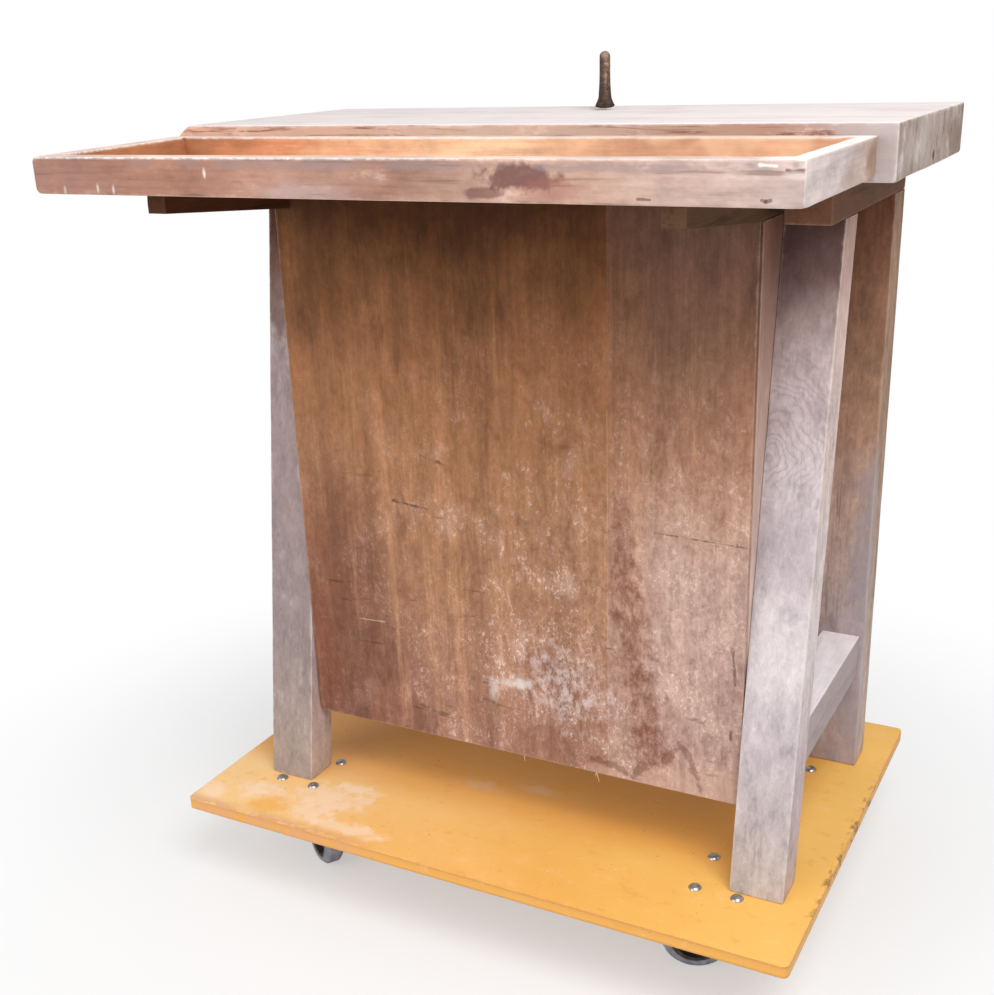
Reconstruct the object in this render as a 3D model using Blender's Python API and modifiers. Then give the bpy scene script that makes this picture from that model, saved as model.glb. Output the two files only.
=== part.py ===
"""Sculptor's workbench: plank top with a tool tray, on splayed legs and a rolling platform.

Metres, +Z up. The origin is on the floor, under the middle of the bench's overall box.
-Y is the tray side, +X is to the right of someone who faces the tray.
"""

import math

import bmesh
import bpy
from mathutils import Matrix, Vector

# Gap left between pieces that touch, the distance within which points are merged,
# and the angle in degrees past which an edge is shaded sharp
FIT = 0.0003
MERGE = 0.00001
SHARP_ANGLE = 35.0

# Steps in each round corner of a flat outline
CORNER_STEPS = 3

# Plank top
SLAB_LENGTH = 1.014
SLAB_DEPTH = 0.405
SLAB_THICK = 0.065
SLAB_BEVEL_RUN = 0.020
SLAB_BEVEL_DROP = 0.014
SLAB_BACK_ROUND = 0.012
SLAB_BACK_STEPS = 4
SLAB_CENTRE_X = 0.000
SLAB_FRONT_Y = -0.102

# Tool tray along the top's front edge
TRAY_LENGTH = 0.986
TRAY_DEPTH = 0.290
TRAY_HEIGHT = 0.045
TRAY_DROP = 0.014
TRAY_CENTRE_X = -0.009
TRAY_RAIL = 0.028
TRAY_FLOOR = 0.008
TRAY_FLOOR_RISE = 0.006
TRAY_GROOVE = 0.008
TRAY_FINGERS = 5

# Brackets under the tray
ARM_WIDTH = 0.028
ARM_LENGTH = 0.500
ARM_SETBACK = 0.018
ARM_TIP_DEPTH = 0.023
ARM_DEPTH = 0.049

# Leg frame
LEG_SPAN = 0.850
LEG_WIDTH = 0.076
LEG_DEPTH = 0.057
LEG_HEIGHT = 0.890
LEG_CENTRE_X = 0.014
FRONT_LEG_SETBACK = 0.068
FRONT_LEG_SPLAY = 0.129
REAR_LEG_INSET = 0.008
BEARER_WIDTH = 0.057
BEARER_HEIGHT = 0.048
STRETCHER_WIDTH = 0.058
STRETCHER_HEIGHT = 0.066
STRETCHER_RISE = 0.161
STRETCHER_INSET = 0.007
RAIL_THICK = 0.030
RAIL_HEIGHT = 0.070
RAIL_LIFT = 0.012
TENON_THICK = 0.020
TENON_WIDTH = 0.036
TENON_LENGTH = 0.028
TENON_SHOULDER = 0.008

# Plywood panel and the cheeks that it is fixed to
PANEL_THICK = 0.010
PANEL_PROUD = 0.0205
PANEL_RISE = 0.112
PANEL_SIDE_GAP = 0.0015
CHEEK_DEPTH = 0.130

# Screws up into the top
SCREW_DIAMETER = 0.006
SCREW_HEAD_DIAMETER = 0.012
SCREW_HEAD_HEIGHT = 0.004
SCREW_BITE = 0.030
SCREW_INSET = 0.030
SCREW_SIDES = 8

# Platform board
BOARD_LENGTH = 0.969
BOARD_DEPTH = 0.679
BOARD_THICK = 0.018
BOARD_CORNER = 0.010
BOARD_CENTRE_X = -0.0025
BOARD_CENTRE_Y = 0.0525

# Carriage bolts and nuts
BOLT_DIAMETER = 0.008
BOLT_HEAD_DIAMETER = 0.019
BOLT_HEAD_HEIGHT = 0.0045
BOLT_SLACK = 0.0006
BOLT_TAIL = 0.003
NUT_FLATS = 0.013
NUT_HEIGHT = 0.0065
HEAD_RELIEF = 0.001
BOLT_DOME_STEPS = 2
BOLT_SIDES = 12

# Swivel casters
CASTER_INSET_X = 0.1335
CASTER_INSET_Y = 0.1525
BOLT_PITCH_X = 0.060
BOLT_PITCH_Y = 0.080
PLATE_EDGE = 0.0125
PLATE_CORNER = 0.010
PLATE_THICK = 0.0035
RACE_HEIGHT = 0.013
RACE_TOP_RADIUS = 0.030
RACE_FOOT_RADIUS = 0.026
RACE_SLACK = 0.002
KINGPIN_DIAMETER = 0.012
KINGPIN_HEAD_DIAMETER = 0.022
KINGPIN_TIP_DIAMETER = 0.015
KINGPIN_HEAD_HEIGHT = 0.005
CROWN_RADIUS = 0.034
CROWN_CLEARANCE = 0.008
FORK_THICK = 0.003
FORK_ROOT_BACK = 0.022
FORK_ROOT_FRONT = 0.026
FORK_EYE_RADIUS = 0.012
FORK_EYE_STEPS = 8
FORK_SIDE_GAP = 0.0025
SWIVEL_TRAIL = 0.038
AXLE_DIAMETER = 0.010
AXLE_HEAD_DIAMETER = 0.016
AXLE_TIP_DIAMETER = 0.013
AXLE_HEAD_HEIGHT = 0.005
WHEEL_DIAMETER = 0.100
TYRE_WIDTH = 0.032
TYRE_DEPTH = 0.013
TYRE_SHOULDER = 0.007
HUB_RIM = 0.005
HUB_BOSS_DIAMETER = 0.026
HUB_WEB = 0.010
HUB_SIDE_GAP = 0.001
WHEEL_SIDES = 24
ROUND_SIDES = 16

# Direction of each caster's trail, in degrees from +X
CASTER_TURNS = {
    "front_left": -35.0,
    "front_right": 200.0,
    "rear_left": 40.0,
    "rear_right": 150.0,
}

# Forged holdfast
HOLDFAST_BAR = 0.016
HOLDFAST_SLACK = 0.0015
HOLDFAST_INSET = 0.053
HOLDFAST_X = 0.006
HOLDFAST_TURN = 23.0
HOLDFAST_RISE = 0.080
HOLDFAST_DROP = 0.075
HOLDFAST_BEND = 0.022
HOLDFAST_BEND_END = 25.0
HOLDFAST_BEND_STEPS = 7
HOLDFAST_FOOT_BEND = 0.022
HOLDFAST_FOOT_HEIGHT = 0.006
HOLDFAST_FOOT_SLOPE = 22.0
HOLDFAST_FOOT_STEPS = 4
HOLDFAST_PAD_WIDTH = 0.030
HOLDFAST_PAD_THICK = 0.009
HOLDFAST_SIDES = 12

# Heights, stacked up from the floor
axle_height = WHEEL_DIAMETER / 2
crown_bottom = WHEEL_DIAMETER + CROWN_CLEARANCE
crown_top = crown_bottom + FORK_THICK
race_bottom = crown_top + FIT
race_top = race_bottom + RACE_HEIGHT
plate_bottom = race_top + FIT
plate_top = plate_bottom + PLATE_THICK
board_bottom = plate_top + FIT
board_top = board_bottom + BOARD_THICK
leg_bottom = board_top + FIT
leg_top = leg_bottom + LEG_HEIGHT
bearer_bottom = leg_top + FIT
bearer_top = bearer_bottom + BEARER_HEIGHT
slab_bottom = bearer_top + FIT
slab_top = slab_bottom + SLAB_THICK
tray_top = slab_top - TRAY_DROP
tray_bottom = tray_top - TRAY_HEIGHT
arm_tray_top = tray_bottom - FIT
arm_slab_top = slab_bottom - FIT
arm_bottom = arm_tray_top - ARM_DEPTH
panel_bottom = leg_bottom + PANEL_RISE
panel_top = tray_bottom - FIT
stretcher_bottom = leg_bottom + STRETCHER_RISE
stretcher_top = stretcher_bottom + STRETCHER_HEIGHT
rail_bottom = stretcher_top + RAIL_LIFT
rail_top = rail_bottom + RAIL_HEIGHT

# Places from left to right
slab_left = SLAB_CENTRE_X - SLAB_LENGTH / 2
slab_right = SLAB_CENTRE_X + SLAB_LENGTH / 2
tray_left = TRAY_CENTRE_X - TRAY_LENGTH / 2
tray_right = TRAY_CENTRE_X + TRAY_LENGTH / 2
leg_outer = LEG_SPAN / 2
leg_inner = leg_outer - LEG_WIDTH
board_left = BOARD_CENTRE_X - BOARD_LENGTH / 2
board_right = BOARD_CENTRE_X + BOARD_LENGTH / 2

# Places from front to back
slab_back = SLAB_FRONT_Y + SLAB_DEPTH
tray_back = SLAB_FRONT_Y - FIT
tray_front = tray_back - TRAY_DEPTH
arm_tip = tray_front + ARM_SETBACK
arm_end = arm_tip + ARM_LENGTH
panel_front = SLAB_FRONT_Y - PANEL_PROUD
panel_back = panel_front + PANEL_THICK
front_leg_top = SLAB_FRONT_Y + FRONT_LEG_SETBACK
front_leg_foot = front_leg_top - FRONT_LEG_SPLAY
rear_leg_back = slab_back - REAR_LEG_INSET
rear_leg_front = rear_leg_back - LEG_DEPTH
board_front = BOARD_CENTRE_Y - BOARD_DEPTH / 2
board_back = BOARD_CENTRE_Y + BOARD_DEPTH / 2

# Local axes of an outline that is drawn flat, from the side and from the front
FLAT = Matrix.Identity(4)
FROM_SIDE = Matrix(((0, 0, 1, 0), (1, 0, 0, 0), (0, 1, 0, 0), (0, 0, 0, 1)))
FROM_FRONT = Matrix.Rotation(math.pi / 2, 4, "X")


# Scene, collections and materials

def clear_scene():
    for obj in list(bpy.data.objects):
        bpy.data.objects.remove(obj, do_unlink=True)


def new_collection(name):
    collection = bpy.data.collections.new(name)
    bpy.context.scene.collection.children.link(collection)
    return collection


def principled(name, colour, roughness, metallic=0.0):
    material = bpy.data.materials.new(name)
    material.use_nodes = True
    shader = material.node_tree.nodes["Principled BSDF"]
    shader.inputs["Base Color"].default_value = (*colour, 1.0)
    shader.inputs["Roughness"].default_value = roughness
    shader.inputs["Metallic"].default_value = metallic
    return material


clear_scene()
parts = new_collection("sculptors_workbench")
cutters = new_collection("cutters")
plank_wood = principled("weathered_plank", (0.62, 0.50, 0.44), 0.75)
tray_wood = principled("tray_wood", (0.45, 0.27, 0.18), 0.65)
leg_wood = principled("grey_leg_wood", (0.40, 0.33, 0.31), 0.80)
dark_wood = principled("dark_bracket_wood", (0.06, 0.03, 0.02), 0.70)
plywood = principled("red_plywood", (0.26, 0.13, 0.08), 0.60)
film_plywood = principled("yellow_film_plywood", (0.85, 0.45, 0.08), 0.40)
zinc = principled("zinc_steel", (0.60, 0.60, 0.58), 0.35, 1.0)
iron = principled("rusty_iron", (0.16, 0.09, 0.06), 0.65, 0.7)
rubber = principled("grey_rubber", (0.22, 0.23, 0.25), 0.75)
hub_plastic = principled("hub_plastic", (0.05, 0.05, 0.055), 0.50)


# Solids

def add_part(name, mesh, material):
    mesh.materials.clear()
    mesh.materials.append(material)
    part = bpy.data.objects.new(name, mesh)
    parts.objects.link(part)
    return part


def add_cutter(name, mesh, place=FLAT):
    cutter = bpy.data.objects.new(name, mesh)
    cutter.hide_render = True
    cutter.display_type = "WIRE"
    cutters.objects.link(cutter)
    cutter.matrix_world = place
    return cutter


def combine(part, other, operation):
    boolean = part.modifiers.new(other.name, "BOOLEAN")
    boolean.operation = operation
    boolean.solver = "EXACT"
    boolean.object = other


def cut(part, cutter):
    combine(part, cutter, "DIFFERENCE")


def join(part, block):
    combine(part, block, "UNION")


def finished_mesh(obj):
    """The object's evaluated shape as a plain mesh, welded and with its faces pointing out."""
    depsgraph = bpy.context.evaluated_depsgraph_get()
    mesh = bpy.data.meshes.new_from_object(obj.evaluated_get(depsgraph))
    work = bmesh.new()
    work.from_mesh(mesh)
    bmesh.ops.remove_doubles(work, verts=work.verts, dist=MERGE)
    bmesh.ops.recalc_face_normals(work, faces=work.faces)
    work.to_mesh(mesh)
    work.free()
    return mesh


def bake(obj, name):
    """Take an object's finished mesh and remove the object itself."""
    mesh = finished_mesh(obj)
    mesh.name = name
    bpy.data.objects.remove(obj)
    return mesh


def shade_round(mesh):
    mesh.shade_smooth()
    mesh.set_sharp_from_angle(angle=math.radians(SHARP_ANGLE))


def boxes_mesh(name, corners):
    """One mesh of boxes, each given by its low and high corner."""
    work = bmesh.new()
    for low, high in corners:
        low = Vector(low)
        high = Vector(high)
        cube = bmesh.ops.create_cube(work, size=1.0)["verts"]
        bmesh.ops.scale(work, vec=high - low, verts=cube)
        bmesh.ops.translate(work, vec=(low + high) / 2, verts=cube)
    mesh = bpy.data.meshes.new(name)
    work.to_mesh(mesh)
    work.free()
    return mesh


def box(name, low, high, material):
    middle = (Vector(low) + Vector(high)) / 2
    part = add_part(name, boxes_mesh(name, [(Vector(low) - middle, Vector(high) - middle)]), material)
    part.location = middle
    return part


def box_cutter(name, low, high, grow=0.0):
    margin = Vector((grow, grow, grow))
    return add_cutter(name, boxes_mesh(name, [(Vector(low) - margin, Vector(high) + margin)]))


def outline_mesh(name, loops, thickness):
    """A flat outline, with its inner loops as holes, extruded to both sides of its plane."""
    curve = bpy.data.curves.new(name, "CURVE")
    curve.dimensions = "2D"
    curve.fill_mode = "BOTH"
    curve.extrude = thickness / 2
    for loop in loops:
        spline = curve.splines.new("POLY")
        spline.points.add(len(loop) - 1)
        for point, (u, v) in zip(spline.points, loop):
            point.co = (u, v, 0.0, 1.0)
        spline.use_cyclic_u = True
    holder = bpy.data.objects.new(name, curve)
    bpy.context.scene.collection.objects.link(holder)
    bpy.context.view_layer.update()
    mesh = bake(holder, name)
    bpy.data.curves.remove(curve)
    return mesh


def rounded_rectangle(centre, half_x, half_y, corner):
    """Outline of a flat rectangle with round corners."""
    rim = []
    for quarter, (x, y) in enumerate(((1, 1), (-1, 1), (-1, -1), (1, -1))):
        across = centre[0] + x * (half_x - corner)
        along = centre[1] + y * (half_y - corner)
        for step in range(CORNER_STEPS + 1):
            turn = math.pi / 2 * (quarter + step / CORNER_STEPS)
            rim.append((across + corner * math.cos(turn), along + corner * math.sin(turn)))
    return rim


def ring_of_points(centre, radius, sides, start=0.0):
    turns = (start + 2 * math.pi * step / sides for step in range(sides))
    return [(centre[0] + radius * math.cos(turn), centre[1] + radius * math.sin(turn)) for turn in turns]


def turned_mesh(name, profile, sides, closed=False, start=0.0):
    """A profile of (radius, height) points, turned about the local Z axis."""
    points = [(radius * math.cos(start), radius * math.sin(start), height) for radius, height in profile]
    edges = [(index, index + 1) for index in range(len(points) - 1)]
    if closed:
        edges.append((len(points) - 1, 0))
    line = bpy.data.meshes.new(name)
    line.from_pydata(points, edges, [])
    holder = bpy.data.objects.new(name, line)
    bpy.context.scene.collection.objects.link(holder)
    screw = holder.modifiers.new("turn", "SCREW")
    screw.steps = sides
    screw.render_steps = sides
    screw.use_merge_vertices = True
    screw.merge_threshold = MERGE
    bpy.context.view_layer.update()
    mesh = bake(holder, name)
    bpy.data.meshes.remove(line)
    shade_round(mesh)
    return mesh


def copies_mesh(name, mesh, places):
    """One mesh of copies that stand apart, for a cutter."""
    work = bmesh.new()
    for place in places:
        first = len(work.verts)
        work.from_mesh(mesh)
        work.verts.ensure_lookup_table()
        bmesh.ops.translate(work, vec=place, verts=work.verts[first:])
    copies = bpy.data.meshes.new(name)
    work.to_mesh(copies)
    work.free()
    return copies


def joined_mesh(name, base, blocks):
    """One solid made of a base mesh and of blocks, each given by its mesh and its place."""
    holder = add_part(name, base, zinc)
    helpers = [add_cutter(f"{name}_{index}", mesh, place) for index, (mesh, place) in enumerate(blocks)]
    for helper in helpers:
        join(holder, helper)
    bpy.context.view_layer.update()
    mesh = bake(holder, name)
    for helper in helpers:
        bpy.data.objects.remove(helper)
    shade_round(mesh)
    return mesh


def sided(side, distance):
    """X of a point at a distance from the leg frame's middle, on side -1 (left) or +1 (right)."""
    return LEG_CENTRE_X + side * distance


def spread(side, near, far):
    """Low and high X of a stretch between two distances from the leg frame's middle."""
    return sorted((sided(side, near), sided(side, far)))


# Screws up through bearers and arms into the top

def screw_mesh(name, length, grow=0.0):
    shank = SCREW_DIAMETER / 2 + grow
    head = SCREW_HEAD_DIAMETER / 2 + grow
    top = length + grow
    profile = [(0.0, top), (shank, top), (shank, SCREW_HEAD_HEIGHT), (head, -grow), (0.0, -grow)]
    return turned_mesh(name, profile, SCREW_SIDES)


def build_screw_row(carrier, middle, foot_height, rows):
    """Two screws on each side, through a bearer or an arm, and the cutter for their holes."""
    foot = foot_height + FIT
    length = slab_bottom + SCREW_BITE - foot
    screw = screw_mesh(f"{carrier}_screw", length)
    places = []
    for hand, side in (("left", -1), ("right", 1)):
        for row, y in rows.items():
            place = Vector((sided(side, middle), y, foot))
            add_part(f"{carrier}_screw_{row}_{hand}", screw, zinc).location = place
            places.append(place)
    hole = screw_mesh(f"{carrier}_screw_hole", length, FIT)
    name = f"{carrier}_screw_holes"
    return add_cutter(name, copies_mesh(name, hole, places))


def build_screws():
    bearer_rows = {"front": front_leg_top + LEG_DEPTH + SCREW_INSET, "rear": rear_leg_front - SCREW_INSET}
    arm_rows = {"front": SLAB_FRONT_Y + SCREW_INSET, "rear": arm_end - SCREW_INSET}
    bearer_holes = build_screw_row("bearer", leg_outer - BEARER_WIDTH / 2, bearer_bottom, bearer_rows)
    arm_holes = build_screw_row("arm", leg_inner - FIT - ARM_WIDTH / 2, arm_bottom, arm_rows)
    return bearer_holes, arm_holes


# Plank top

def slab_back_cutter():
    """Cutter that rounds the top's lower back edge."""
    middle = (slab_back - SLAB_BACK_ROUND, slab_bottom + SLAB_BACK_ROUND)
    past = SLAB_BACK_ROUND / 2
    outline = [
        (slab_back + past, middle[1]),
        (slab_back + past, slab_bottom - past),
        (middle[0], slab_bottom - past),
    ]
    for step in range(SLAB_BACK_STEPS + 1):
        turn = math.pi / 2 * (step / SLAB_BACK_STEPS - 1)
        y = middle[0] + SLAB_BACK_ROUND * math.cos(turn)
        z = middle[1] + SLAB_BACK_ROUND * math.sin(turn)
        outline.append((y, z))
    mesh = outline_mesh("slab_back_round", [outline], SLAB_LENGTH + past)
    return add_cutter("slab_back_round", mesh, Matrix.Translation((SLAB_CENTRE_X, 0, 0)) @ FROM_SIDE)


def build_slab(*screw_holes):
    outline = [
        (slab_left, slab_bottom),
        (slab_right, slab_bottom),
        (slab_right, slab_top),
        (slab_left + SLAB_BEVEL_RUN, slab_top),
        (slab_left, slab_top - SLAB_BEVEL_DROP),
    ]
    slab = add_part("top_slab", outline_mesh("top_slab", [outline], SLAB_DEPTH), plank_wood)
    slab.matrix_world = Matrix.Translation((0, (SLAB_FRONT_Y + slab_back) / 2, 0)) @ FROM_FRONT
    bore = (HOLDFAST_BAR + HOLDFAST_SLACK) / 2
    mouth = slab_top + bore
    end = slab_bottom - bore
    hole = turned_mesh("holdfast_hole", [(0, mouth), (bore, mouth), (bore, end), (0, end)], ROUND_SIDES)
    place = Matrix.Translation((HOLDFAST_X, slab_back - HOLDFAST_INSET, 0))
    cut(slab, add_cutter("holdfast_hole", hole, place))
    cut(slab, slab_back_cutter())
    for holes in screw_holes:
        cut(slab, holes)


# Tool tray

def finger_layers(first):
    """Low and high Z of every second finger layer of the tray's corners."""
    layer = TRAY_HEIGHT / TRAY_FINGERS
    starts = range(first, TRAY_FINGERS, 2)
    return [(tray_bottom + layer * step, tray_bottom + layer * (step + 1)) for step in starts]


def corner_cutter(name, layers, grow):
    """Cutter of boxes at the tray's four corners, over the given layers."""
    past = TRAY_RAIL / 2
    reach = TRAY_RAIL + FIT
    boxes = []
    for x_range in ((tray_left - past, tray_left + reach), (tray_right - reach, tray_right + past)):
        for y_range in ((tray_front - past, tray_front + reach), (tray_back - reach, tray_back + past)):
            for low, high in layers:
                boxes.append(((x_range[0], y_range[0], low - grow), (x_range[1], y_range[1], high + grow)))
    return add_cutter(name, boxes_mesh(name, boxes))


def build_tray():
    inner_left = tray_left + TRAY_RAIL
    inner_right = tray_right - TRAY_RAIL
    inner_front = tray_front + TRAY_RAIL
    inner_back = tray_back - TRAY_RAIL
    floor_bottom = tray_bottom + TRAY_FLOOR_RISE
    floor_low = (inner_left - TRAY_GROOVE, inner_front - TRAY_GROOVE, floor_bottom)
    floor_high = (inner_right + TRAY_GROOVE, inner_back + TRAY_GROOVE, floor_bottom + TRAY_FLOOR)
    box("tray_bottom", floor_low, floor_high, tray_wood)
    groove = box_cutter("tray_groove", floor_low, floor_high, FIT)

    slots = corner_cutter("rail_slots", finger_layers(1), FIT)
    gaps = corner_cutter("end_gaps", finger_layers(0), 0.0)
    for name, front in (("tray_front_rail", tray_front), ("tray_back_rail", inner_back)):
        low = (tray_left, front, tray_bottom)
        high = (tray_right, front + TRAY_RAIL, tray_top)
        rail = box(name, low, high, tray_wood)
        cut(rail, slots)
        cut(rail, groove)
    for name, left in (("tray_left_end", tray_left), ("tray_right_end", inner_right)):
        low = (left, tray_front, tray_bottom)
        high = (left + TRAY_RAIL, tray_back, tray_top)
        rail = box(name, low, high, tray_wood)
        cut(rail, gaps)
        cut(rail, groove)


def build_arms(screw_holes):
    step = SLAB_FRONT_Y - FIT
    outline = [
        (arm_tip, arm_tray_top),
        (arm_tip, arm_tray_top - ARM_TIP_DEPTH),
        (panel_front, arm_bottom),
        (arm_end, arm_bottom),
        (arm_end, arm_slab_top),
        (step, arm_slab_top),
        (step, arm_tray_top),
    ]
    for name, side in (("tray_arm_left", -1), ("tray_arm_right", 1)):
        arm = add_part(name, outline_mesh(name, [outline], ARM_WIDTH), dark_wood)
        middle = sided(side, leg_inner - FIT - ARM_WIDTH / 2)
        arm.matrix_world = Matrix.Translation((middle, 0, 0)) @ FROM_SIDE
        cut(arm, screw_holes)


# Leg frame

def front_leg_face(height):
    """Y of the splayed leg's front face at a height."""
    rise = (height - leg_bottom) / LEG_HEIGHT
    return front_leg_foot + rise * FRONT_LEG_SPLAY


def top_tenon(side, leg_middle):
    """Low and high corner of the stub tenon from a leg's top into its bearer."""
    middle = sided(side, leg_outer - BEARER_WIDTH / 2)
    low = (middle - TENON_THICK / 2, leg_middle - TENON_WIDTH / 2, leg_top - TENON_SHOULDER)
    high = (middle + TENON_THICK / 2, leg_middle + TENON_WIDTH / 2, leg_top + TENON_LENGTH)
    return low, high


def stretcher_tenon(side):
    """Low and high corner of the bar that makes a side stretcher's two tenons."""
    outer = leg_outer - STRETCHER_INSET
    middle = sided(side, outer - STRETCHER_WIDTH / 2)
    shoulder = front_leg_face((stretcher_bottom + stretcher_top) / 2) + LEG_DEPTH
    low = (middle - TENON_THICK / 2, shoulder - TENON_LENGTH, stretcher_bottom + TENON_SHOULDER)
    high = (middle + TENON_THICK / 2, rear_leg_front + TENON_LENGTH, stretcher_top - TENON_SHOULDER)
    return low, high


def rail_tenon():
    """Low and high corner of the bar that makes the rear rail's two tenons."""
    middle = (rear_leg_front + rear_leg_back) / 2
    low = (sided(-1, leg_inner + TENON_LENGTH), middle - TENON_THICK / 2, rail_bottom + TENON_SHOULDER)
    high = (sided(1, leg_inner + TENON_LENGTH), middle + TENON_THICK / 2, rail_top - TENON_SHOULDER)
    return low, high


def build_bearer(name, side, tenons, screw_holes):
    low_x, high_x = spread(side, leg_outer - BEARER_WIDTH, leg_outer)
    low = (low_x, SLAB_FRONT_Y + FIT, bearer_bottom)
    high = (high_x, rear_leg_back, bearer_top)
    bearer = box(name, low, high, leg_wood)
    for place, corners in tenons.items():
        cut(bearer, box_cutter(f"{name}_{place}_mortise", *corners, FIT))
    cut(bearer, screw_holes)


def build_stretcher(name, side):
    outline = [
        (front_leg_face(stretcher_bottom) + LEG_DEPTH + FIT, stretcher_bottom),
        (rear_leg_front - FIT, stretcher_bottom),
        (rear_leg_front - FIT, stretcher_top),
        (front_leg_face(stretcher_top) + LEG_DEPTH + FIT, stretcher_top),
    ]
    stretcher = add_part(name, outline_mesh(name, [outline], STRETCHER_WIDTH), leg_wood)
    middle = sided(side, leg_outer - STRETCHER_INSET - STRETCHER_WIDTH / 2)
    stretcher.matrix_world = Matrix.Translation((middle, 0, 0)) @ FROM_SIDE
    join(stretcher, box_cutter(f"{name}_tenons", *stretcher_tenon(side)))


def build_leg_frame(screw_holes, pockets):
    front_outline = [
        (front_leg_foot, leg_bottom),
        (front_leg_foot + LEG_DEPTH, leg_bottom),
        (front_leg_top + LEG_DEPTH, leg_top),
        (front_leg_top, leg_top),
    ]
    rear_outline = [
        (rear_leg_front, leg_bottom),
        (rear_leg_back, leg_bottom),
        (rear_leg_back, leg_top),
        (rear_leg_front, leg_top),
    ]
    rail_low = (sided(-1, leg_inner - FIT), (rear_leg_front + rear_leg_back - RAIL_THICK) / 2, rail_bottom)
    rail_high = (sided(1, leg_inner - FIT), (rear_leg_front + rear_leg_back + RAIL_THICK) / 2, rail_top)
    rail = box("rear_rail", rail_low, rail_high, leg_wood)
    join(rail, box_cutter("rear_rail_tenons", *rail_tenon()))
    rail_mortise = box_cutter("rear_rail_mortises", *rail_tenon(), FIT)

    for hand, side in (("left", -1), ("right", 1)):
        build_stretcher(f"stretcher_{hand}", side)
        stretcher_mortise = box_cutter(f"stretcher_{hand}_mortises", *stretcher_tenon(side), FIT)
        middle = sided(side, leg_outer - LEG_WIDTH / 2)
        tenons = {}
        for place, outline in (("front", front_outline), ("rear", rear_outline)):
            name = f"leg_{place}_{hand}"
            leg = add_part(name, outline_mesh(name, [outline], LEG_WIDTH), leg_wood)
            leg.matrix_world = Matrix.Translation((middle, 0, 0)) @ FROM_SIDE
            top_middle = (outline[2][0] + outline[3][0]) / 2
            tenons[place] = top_tenon(side, top_middle)
            join(leg, box_cutter(f"{name}_tenon", *tenons[place]))
            cut(leg, stretcher_mortise)
            cut(leg, pockets)
            if place == "rear":
                cut(leg, rail_mortise)
        build_bearer(f"bearer_{hand}", side, tenons, screw_holes)


# Plywood panel and cheeks

def build_panel():
    left = sided(-1, leg_inner - PANEL_SIDE_GAP)
    right = sided(1, leg_inner - PANEL_SIDE_GAP)
    notch_left = sided(-1, leg_inner - ARM_WIDTH - 2 * FIT)
    notch_right = sided(1, leg_inner - ARM_WIDTH - 2 * FIT)
    notch_bottom = arm_bottom - FIT
    outline = [
        (left, panel_bottom),
        (right, panel_bottom),
        (right, notch_bottom),
        (notch_right, notch_bottom),
        (notch_right, panel_top),
        (notch_left, panel_top),
        (notch_left, notch_bottom),
        (left, notch_bottom),
    ]
    panel = add_part("plywood_panel", outline_mesh("plywood_panel", [outline], PANEL_THICK), plywood)
    panel.matrix_world = Matrix.Translation((0, (panel_front + panel_back) / 2, 0)) @ FROM_FRONT
    for name, side in (("panel_cheek_left", -1), ("panel_cheek_right", 1)):
        low_x, high_x = spread(side, leg_inner - FIT - ARM_WIDTH, leg_inner - FIT)
        low = (low_x, panel_back + FIT, panel_bottom)
        high = (high_x, panel_back + FIT + CHEEK_DEPTH, arm_bottom - FIT)
        box(name, low, high, plywood)


# Platform board with its bolts

def caster_places():
    """Swivel axis of each caster, on the floor."""
    columns = {"left": board_left + CASTER_INSET_X, "right": board_right - CASTER_INSET_X}
    rows = {"front": board_front + CASTER_INSET_Y, "rear": board_back - CASTER_INSET_Y}
    return {
        f"{row}_{column}": Vector((columns[column], rows[row], 0.0))
        for row in rows
        for column in columns
    }


def bolt_offsets():
    half_x = BOLT_PITCH_X / 2
    half_y = BOLT_PITCH_Y / 2
    return [Vector((x, y, 0.0)) for x in (-half_x, half_x) for y in (-half_y, half_y)]


def bolt_places(height):
    level = Vector((0.0, 0.0, height))
    return [axis + offset + level for axis in caster_places().values() for offset in bolt_offsets()]


def build_board():
    middle = (BOARD_CENTRE_X, BOARD_CENTRE_Y)
    rim = rounded_rectangle(middle, BOARD_LENGTH / 2, BOARD_DEPTH / 2, BOARD_CORNER)
    hole = (BOLT_DIAMETER + BOLT_SLACK) / 2
    holes = [ring_of_points(place, hole, BOLT_SIDES) for place in bolt_places(0.0)]
    mesh = outline_mesh("platform_board", [rim, *holes], BOARD_THICK)
    board = add_part("platform_board", mesh, film_plywood)
    board.location.z = (board_bottom + board_top) / 2


def head_pockets():
    """Cutter for the pockets that clear the bolts' heads in the legs' feet."""
    reach = BOLT_HEAD_DIAMETER / 2 + HEAD_RELIEF
    roof = BOLT_HEAD_HEIGHT + HEAD_RELIEF
    profile = [(0.0, roof), (reach, roof), (reach, -HEAD_RELIEF), (0.0, -HEAD_RELIEF)]
    pocket = turned_mesh("head_pocket", profile, BOLT_SIDES)
    return add_cutter("head_pockets", copies_mesh("head_pockets", pocket, bolt_places(board_top)))


# Swivel casters, drawn about their swivel axis with the wheel trailing along +X

def bolt_mesh():
    """Domed carriage bolt, drawn from the top of the board down to its tail below the nut."""
    shank = BOLT_DIAMETER / 2
    head = BOLT_HEAD_DIAMETER / 2
    tail = plate_bottom - NUT_HEIGHT - BOLT_TAIL
    seat = board_top + FIT
    dome = BOLT_HEAD_HEIGHT - FIT
    profile = []
    for step in range(BOLT_DOME_STEPS + 1):
        turn = math.pi / 2 * step / BOLT_DOME_STEPS
        profile.append((head * math.sin(turn), seat + dome * math.cos(turn)))
    profile += [(shank, seat), (shank, tail), (0.0, tail)]
    return turned_mesh("carriage_bolt", profile, BOLT_SIDES)


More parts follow.
